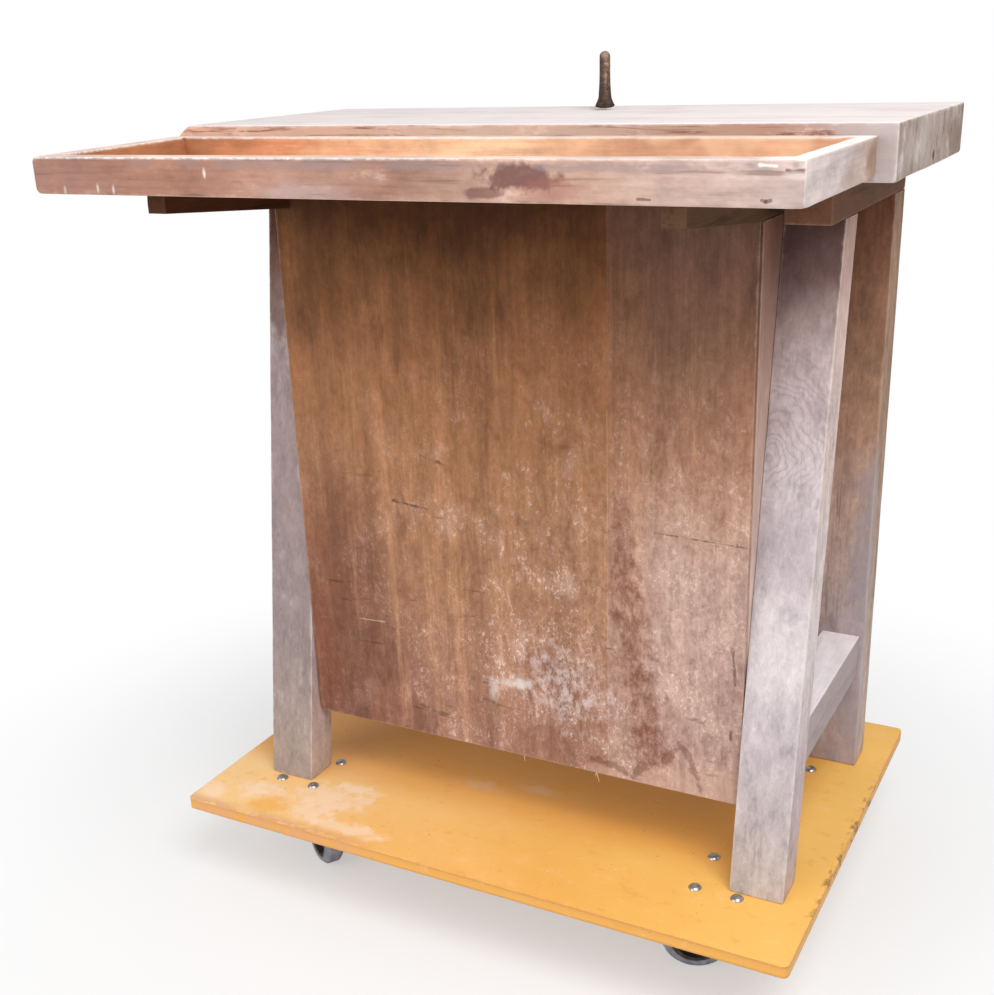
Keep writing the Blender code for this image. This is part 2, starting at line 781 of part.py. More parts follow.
def plate_mesh():
    """Mounting plate, with the four bolts and nuts that clamp it to the board."""
    half_x = BOLT_PITCH_X / 2 + PLATE_EDGE
    half_y = BOLT_PITCH_Y / 2 + PLATE_EDGE
    rim = rounded_rectangle((0.0, 0.0), half_x, half_y, PLATE_CORNER)
    eye = ring_of_points((0, 0), KINGPIN_DIAMETER / 2 + FIT, BOLT_SIDES)
    plate = outline_mesh("plate", [rim, eye], PLATE_THICK)
    plate.transform(Matrix.Translation((0, 0, (plate_bottom + plate_top) / 2)))
    seat = PLATE_THICK / 2
    nut = outline_mesh("nut", [ring_of_points((0, 0), NUT_FLATS / math.sqrt(3), 6)], NUT_HEIGHT + seat)
    nut_middle = Vector((0, 0, plate_bottom + (seat - NUT_HEIGHT) / 2))
    bolt = bolt_mesh()
    blocks = []
    for offset in bolt_offsets():
        blocks.append((bolt, Matrix.Translation(offset)))
        blocks.append((nut, Matrix.Translation(offset + nut_middle)))
    return joined_mesh("caster_plate", plate, blocks)


def race_mesh():
    bore = KINGPIN_DIAMETER / 2 + RACE_SLACK
    waist = race_bottom + RACE_HEIGHT / 2
    profile = [
        (bore, race_top),
        (RACE_TOP_RADIUS, race_top),
        (RACE_TOP_RADIUS, waist),
        (RACE_FOOT_RADIUS, race_bottom),
        (bore, race_bottom),
    ]
    return turned_mesh("caster_race", profile, ROUND_SIDES, closed=True)


def kingpin_mesh():
    shank = KINGPIN_DIAMETER / 2
    head = KINGPIN_HEAD_DIAMETER / 2
    tip = KINGPIN_TIP_DIAMETER / 2
    shoulder = crown_bottom - FIT
    profile = [
        (0.0, plate_top),
        (shank, plate_top),
        (shank, shoulder),
        (head, shoulder),
        (tip, shoulder - KINGPIN_HEAD_HEIGHT),
        (0.0, shoulder - KINGPIN_HEAD_HEIGHT),
    ]
    return turned_mesh("caster_kingpin", profile, BOLT_SIDES)


def tangent_turns(centre, radius, point):
    """Angles on a circle where the two tangents from an outside point touch it."""
    reach = Vector((point[0] - centre[0], point[1] - centre[1]))
    middle = math.atan2(reach.y, reach.x)
    swing = math.acos(radius / reach.length)
    return middle - swing, middle + swing


def fork_side_outline():
    """A fork side as seen from its own side: a root under the crown, tapering to the axle's eye."""
    eye = (SWIVEL_TRAIL, axle_height)
    root_height = crown_bottom + FORK_THICK / 2
    back = (-FORK_ROOT_BACK, root_height)
    front = (FORK_ROOT_FRONT, root_height)
    start = tangent_turns(eye, FORK_EYE_RADIUS, back)[1]
    end = tangent_turns(eye, FORK_EYE_RADIUS, front)[0] + 2 * math.pi
    arc = []
    for step in range(FORK_EYE_STEPS + 1):
        turn = start + (end - start) * step / FORK_EYE_STEPS
        arc.append((eye[0] + FORK_EYE_RADIUS * math.cos(turn), eye[1] + FORK_EYE_RADIUS * math.sin(turn)))
    return [back, *arc, front]


def fork_mesh():
    bore = ring_of_points((0, 0), KINGPIN_DIAMETER / 2 + FIT, BOLT_SIDES)
    crown = outline_mesh("crown", [ring_of_points((0, 0), CROWN_RADIUS, WHEEL_SIDES), bore], FORK_THICK)
    crown.transform(Matrix.Translation((0, 0, crown_bottom + FORK_THICK / 2)))
    axle_hole = ring_of_points((SWIVEL_TRAIL, axle_height), AXLE_DIAMETER / 2 + FIT, BOLT_SIDES)
    side = outline_mesh("fork_side", [fork_side_outline(), axle_hole], FORK_THICK)
    distance = TYRE_WIDTH / 2 + FORK_SIDE_GAP + FORK_THICK / 2
    places = [Matrix.Translation((0, hand * distance, 0)) @ FROM_FRONT for hand in (-1, 1)]
    return joined_mesh("caster_fork", crown, [(side, place) for place in places])


def axle_mesh():
    """Riveted axle, drawn along Z about the wheel's middle."""
    shank = AXLE_DIAMETER / 2
    head = AXLE_HEAD_DIAMETER / 2
    tip = AXLE_TIP_DIAMETER / 2
    seat = TYRE_WIDTH / 2 + FORK_SIDE_GAP + FORK_THICK + FIT
    profile = [
        (0.0, seat + AXLE_HEAD_HEIGHT),
        (tip, seat + AXLE_HEAD_HEIGHT),
        (head, seat),
        (shank, seat),
        (shank, -seat),
        (head, -seat),
        (tip, -seat - AXLE_HEAD_HEIGHT),
        (0.0, -seat - AXLE_HEAD_HEIGHT),
    ]
    return turned_mesh("caster_axle", profile, BOLT_SIDES)


def wheel_ring(radius):
    """Corner radius of a faceted ring whose flats lie at a radius."""
    return radius / math.cos(math.pi / WHEEL_SIDES)


def tyre_mesh():
    tread = wheel_ring(WHEEL_DIAMETER / 2)
    shoulder = wheel_ring(WHEEL_DIAMETER / 2 - TYRE_SHOULDER)
    seat = wheel_ring(WHEEL_DIAMETER / 2 - TYRE_DEPTH)
    half = TYRE_WIDTH / 2
    flat = half - TYRE_SHOULDER
    profile = [
        (seat, half),
        (shoulder, half),
        (tread, flat),
        (tread, -flat),
        (shoulder, -half),
        (seat, -half),
    ]
    return turned_mesh("caster_tyre", profile, WHEEL_SIDES, closed=True, start=math.pi / WHEEL_SIDES)


def hub_mesh():
    seat = wheel_ring(WHEEL_DIAMETER / 2 - TYRE_DEPTH) - FIT
    rim = seat - HUB_RIM
    boss = HUB_BOSS_DIAMETER / 2
    bore = AXLE_DIAMETER / 2 + FIT
    edge = TYRE_WIDTH / 2 - HUB_SIDE_GAP
    boss_end = TYRE_WIDTH / 2 + FORK_SIDE_GAP - FIT
    web = HUB_WEB / 2
    upper = [(seat, edge), (rim, edge), (rim, web), (boss, web), (boss, boss_end), (bore, boss_end)]
    lower = [(radius, -height) for radius, height in reversed(upper)]
    return turned_mesh("caster_hub", upper + lower, WHEEL_SIDES, closed=True, start=math.pi / WHEEL_SIDES)


def add_empty(name, parent, location):
    empty = bpy.data.objects.new(name, None)
    parts.objects.link(empty)
    empty.parent = parent
    empty.location = location
    return empty


def build_casters():
    fixed = {"plate": plate_mesh(), "race": race_mesh(), "kingpin": kingpin_mesh()}
    fork = fork_mesh()
    axle = axle_mesh()
    wheel = {"hub": (hub_mesh(), hub_plastic), "tyre": (tyre_mesh(), rubber)}
    for corner, axis in caster_places().items():
        mount = add_empty(f"caster_{corner}_axis", None, axis)
        for piece, mesh in fixed.items():
            add_part(f"caster_{corner}_{piece}", mesh, zinc).parent = mount
        swivel = add_empty(f"caster_{corner}_swivel", mount, (0, 0, 0))
        swivel.rotation_euler.z = math.radians(CASTER_TURNS[corner])
        add_part(f"caster_{corner}_fork", fork, zinc).parent = swivel
        hub_axis = add_empty(f"caster_{corner}_spin", swivel, (SWIVEL_TRAIL, 0, axle_height))
        hub_axis.rotation_euler.x = math.pi / 2
        add_part(f"caster_{corner}_axle", axle, zinc).parent = hub_axis
        for piece, (mesh, material) in wheel.items():
            add_part(f"caster_{corner}_{piece}", mesh, material).parent = hub_axis


# Forged holdfast, drawn in the plane of its arm

def holdfast_path():
    """Points (reach, height, tangent angle) along the bar, from the shank's tip to the pad's toe."""
    bend = HOLDFAST_BEND
    bend_height = HOLDFAST_RISE - HOLDFAST_BAR / 2 - bend
    path = [(0.0, -SLAB_THICK - HOLDFAST_DROP, math.pi / 2), (0.0, bend_height / 2, math.pi / 2)]
    stop = math.radians(HOLDFAST_BEND_END)
    for step in range(HOLDFAST_BEND_STEPS + 1):
        turn = math.pi + (stop - math.pi) * step / HOLDFAST_BEND_STEPS
        path.append((bend + bend * math.cos(turn), bend_height + bend * math.sin(turn), turn - math.pi / 2))
    fall = stop - math.pi / 2
    reach, height, _ = path[-1]
    foot_turn = math.radians(90.0 - HOLDFAST_FOOT_SLOPE) - stop
    foot_drop = HOLDFAST_FOOT_BEND * (math.cos(fall + foot_turn) - math.cos(fall))
    run = (height - HOLDFAST_FOOT_HEIGHT - foot_drop) / -math.sin(fall)
    start = Vector((reach + run * math.cos(fall), height + run * math.sin(fall)))
    path.append(((reach + start.x) / 2, (height + start.y) / 2, fall))
    for step in range(HOLDFAST_FOOT_STEPS + 1):
        angle = fall + foot_turn * step / HOLDFAST_FOOT_STEPS
        path.append((
            start.x + HOLDFAST_FOOT_BEND * (math.sin(angle) - math.sin(fall)),
            start.y - HOLDFAST_FOOT_BEND * (math.cos(angle) - math.cos(fall)),
            angle,
        ))
    return path


def holdfast_mesh():
    """Loft along the path: a round bar that flattens and flares into the pad."""
    path = holdfast_path()
    flare_from = len(path) - 2 - HOLDFAST_FOOT_STEPS
    work = bmesh.new()
    rings = []
    for index, (reach, height, angle) in enumerate(path):
        flare = max(0.0, (index - flare_from) / (len(path) - 1 - flare_from))
        half_width = (HOLDFAST_BAR + (HOLDFAST_PAD_WIDTH - HOLDFAST_BAR) * flare) / 2
        half_thick = (HOLDFAST_BAR + (HOLDFAST_PAD_THICK - HOLDFAST_BAR) * flare) / 2
        ring = []
        for wide, thick in ring_of_points((0, 0), 1.0, HOLDFAST_SIDES):
            x = reach - thick * half_thick * math.sin(angle)
            z = height + thick * half_thick * math.cos(angle)
            if reach > HOLDFAST_BAR:
                z = max(z, FIT)
            ring.append(work.verts.new((x, wide * half_width, z)))
        rings.append(ring)
    for near, far in zip(rings, rings[1:]):
        for side in range(HOLDFAST_SIDES):
            after = (side + 1) % HOLDFAST_SIDES
            work.faces.new((near[side], near[after], far[after], far[side]))
    work.faces.new(rings[0])
    work.faces.new(rings[-1])
    bmesh.ops.recalc_face_normals(work, faces=work.faces)
    mesh = bpy.data.meshes.new("holdfast")
    work.to_mesh(mesh)
    work.free()
    shade_round(mesh)
    return mesh


def build_holdfast():
    holdfast = add_part("holdfast", holdfast_mesh(), iron)
    holdfast.location = (HOLDFAST_X, slab_back - HOLDFAST_INSET, slab_top)
    holdfast.rotation_euler.z = math.radians(HOLDFAST_TURN - 90.0)


bearer_screw_holes, arm_screw_holes = build_screws()
build_slab(bearer_screw_holes, arm_screw_holes)
build_tray()
build_arms(arm_screw_holes)
build_leg_frame(bearer_screw_holes, head_pockets())
build_panel()
build_board()
build_casters()
build_holdfast()
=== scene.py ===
"""Looks of the sculptor's workbench: worn planks, film-faced platform, zinc bolts and rusty iron."""

import math
from collections import namedtuple

import bmesh
import bpy
import numpy as np
from mathutils import Color, Matrix, Vector, noise


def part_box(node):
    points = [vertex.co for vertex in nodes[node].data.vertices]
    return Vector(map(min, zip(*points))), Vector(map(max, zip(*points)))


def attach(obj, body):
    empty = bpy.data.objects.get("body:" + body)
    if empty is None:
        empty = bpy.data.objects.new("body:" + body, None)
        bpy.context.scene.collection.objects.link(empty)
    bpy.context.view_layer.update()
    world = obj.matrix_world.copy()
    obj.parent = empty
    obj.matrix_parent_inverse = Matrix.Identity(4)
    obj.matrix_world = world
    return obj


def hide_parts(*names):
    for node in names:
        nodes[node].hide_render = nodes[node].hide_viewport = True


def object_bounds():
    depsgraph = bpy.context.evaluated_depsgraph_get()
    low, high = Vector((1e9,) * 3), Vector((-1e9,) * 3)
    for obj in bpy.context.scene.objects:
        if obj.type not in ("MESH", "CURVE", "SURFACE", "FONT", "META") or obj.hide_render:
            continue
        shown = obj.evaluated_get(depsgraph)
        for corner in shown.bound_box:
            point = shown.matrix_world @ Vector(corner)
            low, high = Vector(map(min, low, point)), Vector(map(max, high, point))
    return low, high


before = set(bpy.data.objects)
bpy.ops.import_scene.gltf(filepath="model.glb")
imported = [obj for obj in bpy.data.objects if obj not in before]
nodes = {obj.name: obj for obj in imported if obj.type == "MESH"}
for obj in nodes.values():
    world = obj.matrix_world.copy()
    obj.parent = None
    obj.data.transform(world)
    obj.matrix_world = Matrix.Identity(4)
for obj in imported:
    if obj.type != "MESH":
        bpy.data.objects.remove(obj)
cad_low, cad_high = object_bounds()
tray_low, tray_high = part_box("tray_front_rail")
panel_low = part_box("plywood_panel")[0]
board_low, board_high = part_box("platform_board")

CORNERS = ("front_left", "front_right", "rear_left", "rear_right")
SIDES = ("left", "right")

# Axes, and directions that faces look in
X, Y, Z = 0, 1, 2
UP = (0.0, 0.0, 1.0)
FRONT = (0.0, -1.0, 0.0)
RIGHT = (1.0, 0.0, 0.0)
LEFT = (-1.0, 0.0, 0.0)

# Distances of cuts from a piece's sides, of welding, and angles that count as flat or smooth
EDGE_CUTS = (0.0012, 0.003, 0.006, 0.011)
WELD = 0.00001
FLAT_ANGLE = 0.01
SMOOTH_ANGLE = math.radians(50.0)

# Wear: spacing of the cuts, radius of the edges and depth of their chips
Wear = namedtuple("Wear", "spacing radius chips")
SLAB_WEAR = Wear(0.014, 0.0025, 0.004)
TRAY_WEAR = Wear(0.01, 0.0014, 0.002)
TRAY_BACK_WEAR = Wear(0.012, 0.0012, 0.002)
TRAY_FLOOR_WEAR = Wear(0.04, 0.0005, 0.0)
ARM_WEAR = Wear(0.012, 0.0014, 0.003)
BEARER_WEAR = Wear(0.012, 0.0016, 0.003)
LEG_WEAR = Wear(0.01, 0.0018, 0.003)
STRETCHER_WEAR = Wear(0.012, 0.0018, 0.003)
CHEEK_WEAR = Wear(0.014, 0.001, 0.002)
RAIL_WEAR = Wear(0.014, 0.0014, 0.003)
PANEL_WEAR = Wear(0.014, 0.0006, 0.002)
BOARD_WEAR = Wear(0.016, 0.001, 0.0015)

# How the radius of a worn edge waves, and where it is chipped
WAVE_SCALE = 14.0
WAVE_SHARE = 0.5
CHIP_SCALE = 11.0
CHIP_OFFSET = Vector((5.0, 3.0, 1.0))
CHIP_START = 0.3
CHIP_RANGE = 0.4
SHIFT_STEP = 0.37
TRAY_SHIFT = 7.0

# Wear at corners: how much more than at edges, its reach, and its share in the right half
KNOCK = 0.002
TRAY_KNOCK = 0.007
CORNER_REACH = 0.012
RIGHT_SHARE = 0.5

# How fast the worn look fades away from an edge
EDGE_FADE = 0.004

# Lean of the front legs, in metres of depth for each metre of height
LEG_LEAN = 0.129 / 0.89

# Sides of a tray board that face into the tray: axis across the board, and direction
INNER_SIDES = {"back": (Y, 1.0), "front": (Y, -1.0), "right": (X, 1.0), "left": (X, -1.0)}

# The tray's finger joints, rounded front corners, and eased edge of its right end
FINGER_REACH = 0.0285
FINGER_DEPTH = 0.028
FINGER_STEP = 0.009
FINGER_GAP = 0.0005
TRAY_LEFT_RADIUS = 0.007
TRAY_RIGHT_RADIUS = 0.003
EASED_WIDTH = 0.015
EASED_DEPTH = 0.006

# How far the tray hangs, and between which places
SAG = 0.004
SAG_LEFT = -0.502
SAG_RIGHT = 0.484
SAG_FRONT = -0.392
SAG_BACK = -0.13

# Splinters under the panel: place, drop and drift of each, and their size
SPLINTERS = ((0.03, 0.01, 0.002), (0.146, 0.016, 0.006), (0.149, 0.008, -0.004))
SPLINTER_INSET = 0.002
SPLINTER_ROOT = 0.003
SPLINTER_RADIUS = 0.001
SPLINTER_TIP = 0.0004
SPLINTER_SIDES = 6

# Metal pieces: radii of their edges, angles that are flattened or rounded, and subdivision
METAL_EDGE = 0.0005
SCREW_EDGE = 0.0003
IRON_EDGE = 0.0015
BEVEL_STEPS = 2
DISSOLVE_ANGLE = math.radians(1.0)
BEVEL_ANGLE = math.radians(40.0)
ROUND_LEVELS = 2

# Wheels: sides of the CAD ones and of these, softness of edges, exactness of profiles
CAD_WHEEL_SIDES = 24
WHEEL_SIDES = 72
WHEEL_EDGE = 0.0012
WHEEL_EDGE_SHARE = 0.4
PROFILE_DIGITS = 5
PROFILE_TOLERANCE = 1e-6

# Floor: half its width, its grey, its drop, and where and from what share it goes white
FLOOR_REACH = 9.0
FLOOR_GREY = 0.88
FLOOR_DROP = 0.0005
FADE_START = 0.55
FADE_END = 1.35
NEAR_WHITE = 0.45

# Surroundings as light and as seen, then place, target, size and power of each lamp
WORLD_LIGHT = 0.5
WORLD_WHITE = 1.0
KEY_LIGHT = ((1.7, -1.6, 3.6), (0.0, 0.0, 0.8), 2.2, 105.0)
FILL_LIGHT = ((-1.6, -3.2, 1.8), (0.0, 0.0, 0.7), 2.6, 50.0)

# Camera, with angles in degrees
CAMERA_PLACE = (0.8205, -1.639, 1.2476)
CAMERA_AZIMUTH = 28.459
CAMERA_ELEVATION = 21.132
CAMERA_ROLL = -2.1155
CAMERA_LENS = 47.61
CAMERA_SENSOR = 36.0
CAMERA_SHIFT = 0.0528

# A flat face that carries marks: the axis across it, its place there, and the marks' depth
Face = namedtuple("Face", "axis level depth")
SLAB_END = Face(X, cad_high[X], 0.012)
TRAY_FRONT = Face(Y, tray_low[Y], 0.01)
TRAY_END = Face(X, tray_high[X], 0.01)
REAR_LEG_FRONT = Face(Y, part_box("leg_rear_right")[0][Y], 0.02)
PANEL_FRONT = Face(Y, panel_low[Y], 0.006)
BOARD_TOP = Face(Z, board_high[Z], 0.05)
BOARD_SKIN = Face(Z, board_high[Z], 0.005)

# Joint between the panel's two sheets of veneer
PANEL_JOINT = 0.167
JOINT_WIDTH = 0.001

# When a face looks in a direction, by the cosine between them
FACING_START = 0.5
FACING_FULL = 0.8

# Noise values at which mottling is darkest and lightest
MOTTLE_DARK = 0.3
MOTTLE_LIGHT = 0.7

# How a noise's shift shares out over the axes
SHIFT_SHARES = (1.0, 0.7, 1.3)

# The noise that frays borders, and its weight in stains, in lines and along worn edges
FRAY_SCALE = 48.0
FRAY_SHIFT = 3.0
STAIN_FRAY = 4.0
LINE_FRAY = 3.0
EDGE_FRAY = 1.4

# Where a line begins and is full, in shares of its width, and where worn edges do
LINE_START = 0.75
LINE_FULL = 0.25
EDGE_START = 0.4
EDGE_FULL = 1.15

# Planks: how far tones stray, the share of broad streaks, and the depth of the grain
PLANK_DRIFT = 0.08
BROAD_SHARE = 0.55
GRAIN_DEPTH = 0.0005

# Depths from the tray's outside at which its outer finish ends and is full
OUTSIDE_END = 0.023
OUTSIDE_FULL = 0.008


# Colours and shaders

def srgb(*tone):
    """A colour as a picture shows it, 0 to 255, as a linear value."""
    return (*Color([part / 255 for part in tone]).from_srgb_to_scene_linear(), 1.0)


def in_space(face, pair, third):
    """Two values along a face's axes, with the third put in its place."""
    return (*pair[:face.axis], third, *pair[face.axis:])


class Shader:
    """One procedural material. Values are numbers or sockets, and masks are values from 0 to 1.

    A mask may also be a tuple of what span takes: a value, where it begins to show and where it is full.
    """

    def __init__(self, name, roughness=0.7, metallic=0.0, gloss=0.12):
        self.material = bpy.data.materials.new(name)
        self.material.use_nodes = True
        self.tree = self.material.node_tree
        self.surface = self.tree.nodes["Principled BSDF"]
        self.surface.inputs["Roughness"].default_value = roughness
        self.surface.inputs["Metallic"].default_value = metallic
        self.surface.inputs["Specular IOR Level"].default_value = gloss
        where = self.node("TexCoord", {})
        self.place = where["Object"]
        self.normal = where["Normal"]
        self.axes = self.node("SeparateXYZ", {0: self.place})
        self.colour = None
        self.drift = 0.0
        fray = self.noise(FRAY_SCALE, shift=FRAY_SHIFT, detail=4)
        self.uneven = self.math("SUBTRACT", fray, 0.5)

    def put(self, socket, value):
        if isinstance(value, bpy.types.NodeSocket):
            self.tree.links.new(value, socket)
        else:
            socket.default_value = value

    def node(self, kind, inputs, **settings):
        """Outputs of a new node. Inputs go by number or name."""
        node = self.tree.nodes.new(f"ShaderNode{kind}")
        for name, value in settings.items():
            setattr(node, name, value)
        for socket, value in inputs.items():
            self.put(node.inputs[socket], value)
        return node.outputs

    def math(self, operation, first, second, clamp=False):
        return self.node("Math", {0: first, 1: second}, operation=operation, use_clamp=clamp)[0]

    def plus(self, first, second):
        return self.math("ADD", first, second)

    def times(self, *masks):
        values = [self.span(*mask) if isinstance(mask, tuple) else mask for mask in masks]
        product = values[0]
        for value in values[1:]:
            product = self.math("MULTIPLY", product, value)
        return product

    def without(self, *masks):
        """What the masks leave over."""
        left_over = 1.0
        for mask in masks:
            left_over = self.math("SUBTRACT", left_over, mask, clamp=True)
        return left_over

    def vector(self, operation, first, second=(0.0, 0.0, 0.0)):
        other = "Scale" if operation == "SCALE" else 1
        outputs = self.node("VectorMath", {0: first, other: second}, operation=operation)
        return outputs["Value" if operation in ("LENGTH", "DOT_PRODUCT") else "Vector"]

    def mix(self, factor, first, second):
        return self.node("Mix", {0: factor, 6: first, 7: second}, data_type="RGBA")[2]

    def span(self, value, start, end, low=0.0, high=1.0, smooth=True):
        """A change from low at start to high at end. Start may be the greater of the two."""
        inputs = {"Value": value, "From Min": start, "From Max": end, "To Min": low, "To Max": high}
        kind = "SMOOTHSTEP" if smooth else "LINEAR"
        return self.node("MapRange", inputs, interpolation_type=kind, clamp=smooth)[0]

    def tones(self, value, stops):
        """Colours between stops, each a value and its tone, in rising order."""
        low, high = stops[0][0], stops[-1][0]
        node = self.tree.nodes.new("ShaderNodeValToRGB")
        elements = node.color_ramp.elements
        while len(elements) < len(stops):
            elements.new(0.5)
        for element, (place, *tone) in zip(elements, stops):
            element.position = (place - low) / (high - low)
            element.color = srgb(*tone)
        self.put(node.inputs[0], self.span(value, low, high, smooth=False))
        return node.outputs[0]

    def noise(self, scale, axis=X, squeeze=1.0, shift=0, detail=3, rough=0.6, warp=0.0):
        """Noise that may be drawn out along one axis."""
        stretch = [1.0, 1.0, 1.0]
        stretch[axis] = squeeze
        offset = [shift * share for share in SHIFT_SHARES]
        place = self.node("Mapping", {"Vector": self.place, "Scale": stretch, "Location": offset})[0]
        inputs = {"Vector": place, "Scale": scale, "Detail": detail, "Roughness": rough, "Distortion": warp}
        return self.node("TexNoise", inputs)["Fac"]

    def facing(self, direction):
        """1 on the faces that look in a direction."""
        return self.span(self.vector("DOT_PRODUCT", self.normal, direction), FACING_START, FACING_FULL)

    def blob(self, centre, reach, fray, soft):
        """A spot round a centre with a frayed border."""
        offset = self.vector("SUBTRACT", self.place, centre)
        distance = self.vector("LENGTH", self.vector("MULTIPLY", offset, tuple(1.0 / size for size in reach)))
        value = self.plus(distance, self.times(self.uneven, STAIN_FRAY * fray))
        return self.span(value, 1.0 + soft, 1.0 - soft)

    def line(self, face, start, end, width, fray):
        """A straight line on a flat face."""
        start, end = [Vector(in_space(face, point, face.level)) for point in (start, end)]
        run = end - start
        offset = self.vector("SUBTRACT", self.place, tuple(start))
        share = self.vector("DOT_PRODUCT", offset, tuple(run / run.length_squared))
        nearest = self.vector("SCALE", tuple(run), self.math("ADD", share, 0.0, clamp=True))
        distance = self.vector("LENGTH", self.vector("SUBTRACT", offset, nearest))
        value = self.plus(distance, self.times(self.uneven, LINE_FRAY * fray * width))
        return self.span(value, width * LINE_START, width * LINE_FULL)

    def stain(self, tone, strength, *masks):
        """Mixes in a tone where all the masks let it show."""
        self.colour = self.mix(self.times(*masks, strength), self.colour, srgb(*tone))

    def marks(self, face, spots, tone, strength, fray=0.4, soft=0.3, *masks):
        """Stains on a flat face. A spot has its place along the face's two axes, then its reach."""
        for first, second, *reach in spots:
            centre = in_space(face, (first, second), face.level)
            spot = self.blob(centre, in_space(face, reach, face.depth), fray, soft)
            self.stain(tone, strength, spot, *masks)

    def scratches(self, face, lines, tone, strength, fray, *masks):
        """Lines on a flat face, each with its start, end and width."""
        for line in lines:
            self.stain(tone, strength, self.line(face, *line, fray), *masks)

    def mottle(self, value, amount):
        """Lighter and darker places, by a noise value round 0.5."""
        factor = self.span(value, MOTTLE_DARK, MOTTLE_LIGHT, 1.0 - amount, 1.0 + amount, smooth=False)
        plain = isinstance(self.colour, tuple)
        self.colour = self.vector("SCALE", self.colour[:3] if plain else self.colour, factor)

    def wander(self, cloud, reach):
        """Lets tones along an axis stray by up to a reach, by a noise value."""
        self.drift = self.span(cloud, 0.0, 1.0, -reach, reach, smooth=False)

    def base(self, spec):
        """One tone, or an axis and tones along it."""
        if len(spec) == 3:
            return srgb(*spec)
        axis, stops = spec
        return self.tones(self.plus(self.axes[axis], self.drift), stops)

    def cover(self, mask, spec):
        self.colour = self.mix(mask, self.colour, self.base(spec))

    def edge(self):
        return self.node("Attribute", {}, attribute_name="edge")["Fac"]

    def worn_edge(self, tone, strength):
        """Soft wear along the edges, stronger in places."""
        value = self.plus(self.edge(), self.times(self.uneven, EDGE_FRAY))
        self.stain(tone, strength, (value, EDGE_START, EDGE_FULL))

    def bump(self, height, distance, strength=0.6):
        inputs = {"Strength": strength, "Distance": distance, "Height": height}
        self.put(self.surface.inputs["Normal"], self.node("Bump", inputs)[0])

    def done(self):
        self.put(self.surface.inputs["Base Color"], self.colour)
        return self.material


# Woods

def plank(
    name, axis, base, sides=(), shift=0,
    streaks=0.1, blotches=0.14, dark=(110, 76, 62), dark_share=0.3,
):
    """Wood with its grain along one axis. Sides give other tones to faces by direction."""
    look = Shader(name)
    look.wander(look.noise(8, shift=shift + 5.0), PLANK_DRIFT)
    broad = look.noise(24, axis, 0.12, shift=shift, rough=0.5, warp=0.8)
    look.fine = look.noise(230, axis, 0.04, shift=shift + 3.0, detail=2)
    look.streak = look.plus(look.times(broad, BROAD_SHARE), look.times(look.fine, 1.0 - BROAD_SHARE))
    look.spots = look.noise(42, axis, 0.45, shift=shift + 9.0, detail=5, rough=0.7)
    look.colour = look.base(base)
    for direction, spec in sides:
        look.cover(look.facing(direction), spec)
    look.mottle(look.streak, streaks)
    look.mottle(look.spots, blotches)
    look.stain(dark, dark_share, (look.streak, 0.44, 0.32))
    return look


def worn_plank(look, edge_tone, edge_strength):
    """A plank's material, with its edges worn and its grain raised."""
    look.worn_edge(edge_tone, edge_strength)
    look.bump(look.fine, GRAIN_DEPTH)
    return look.done()


def slab_wood():
    """Pale top, brown front with dark lines, and patchy end grain."""
    front = (
        (-0.5, 208, 164, 141), (0.0, 194, 168, 153), (0.38, 169, 137, 121), (0.46, 181, 166, 163),
        (0.51, 187, 174, 172),
    )
    end = ((-0.1, 168, 149, 139), (0.05, 176, 159, 151), (0.17, 178, 161, 153), (0.3, 152, 132, 122))
    pale_spots = ((-0.03, 1.117, 0.03, 0.018), (0.04, 1.119, 0.022, 0.02))
    dark_spots = ((0.19, 1.125, 0.02, 0.02), (0.25, 1.11, 0.03, 0.024))
    knot = (0.108, 1.098, 0.006, 0.006)
    sides = ((UP, (230, 221, 220)), (RIGHT, (Y, end)), (LEFT, (Y, end)))
    look = plank("slab_wood", X, (X, front), sides, 1.0, streaks=0.05, blotches=0.05, dark_share=0.0)
    upper = look.facing(UP)
    ends = look.plus(look.facing(RIGHT), look.facing(LEFT))
    strip = look.times(look.without(upper, ends), (look.axes[X], 0.47, 0.42))
    lines = look.noise(80, X, 0.06, shift=6, detail=5, rough=0.65, warp=1.0)
    look.stain((116, 74, 60), 0.8, (lines, 0.51, 0.38), strip)
    look.stain((226, 196, 182), 0.5, (look.spots, 0.52, 0.66), strip)
    look.stain((214, 198, 193), 0.35, (look.streak, 0.47, 0.36), upper)
    pink = look.noise(9, X, 0.6, shift=17, detail=4)
    look.stain((216, 192, 184), 0.45, (pink, 0.5, 0.68), upper)
    patches = look.noise(30, Z, 0.65, shift=4, detail=5, rough=0.68)
    look.stain((220, 213, 208), 0.65, (patches, 0.5, 0.7), ends)
    look.stain((118, 92, 76), 0.6, (patches, 0.47, 0.33), ends)
    look.marks(SLAB_END, pale_spots, (206, 197, 191), 0.4, 0.6, 0.6)
    look.marks(SLAB_END, dark_spots, (116, 84, 66), 0.4, 0.6, 0.6)
    look.marks(SLAB_END, (knot,), (60, 44, 36), 0.8)
    return worn_plank(look, (236, 227, 224), 0.5)


def tray_outside(look, direction, axis, level):
    """1 on the tray's outer face that looks in a direction."""
    inward = -direction[axis]
    shell = (look.axes[axis], level + inward * OUTSIDE_END, level + inward * OUTSIDE_FULL)
    return look.times(look.facing(direction), shell)


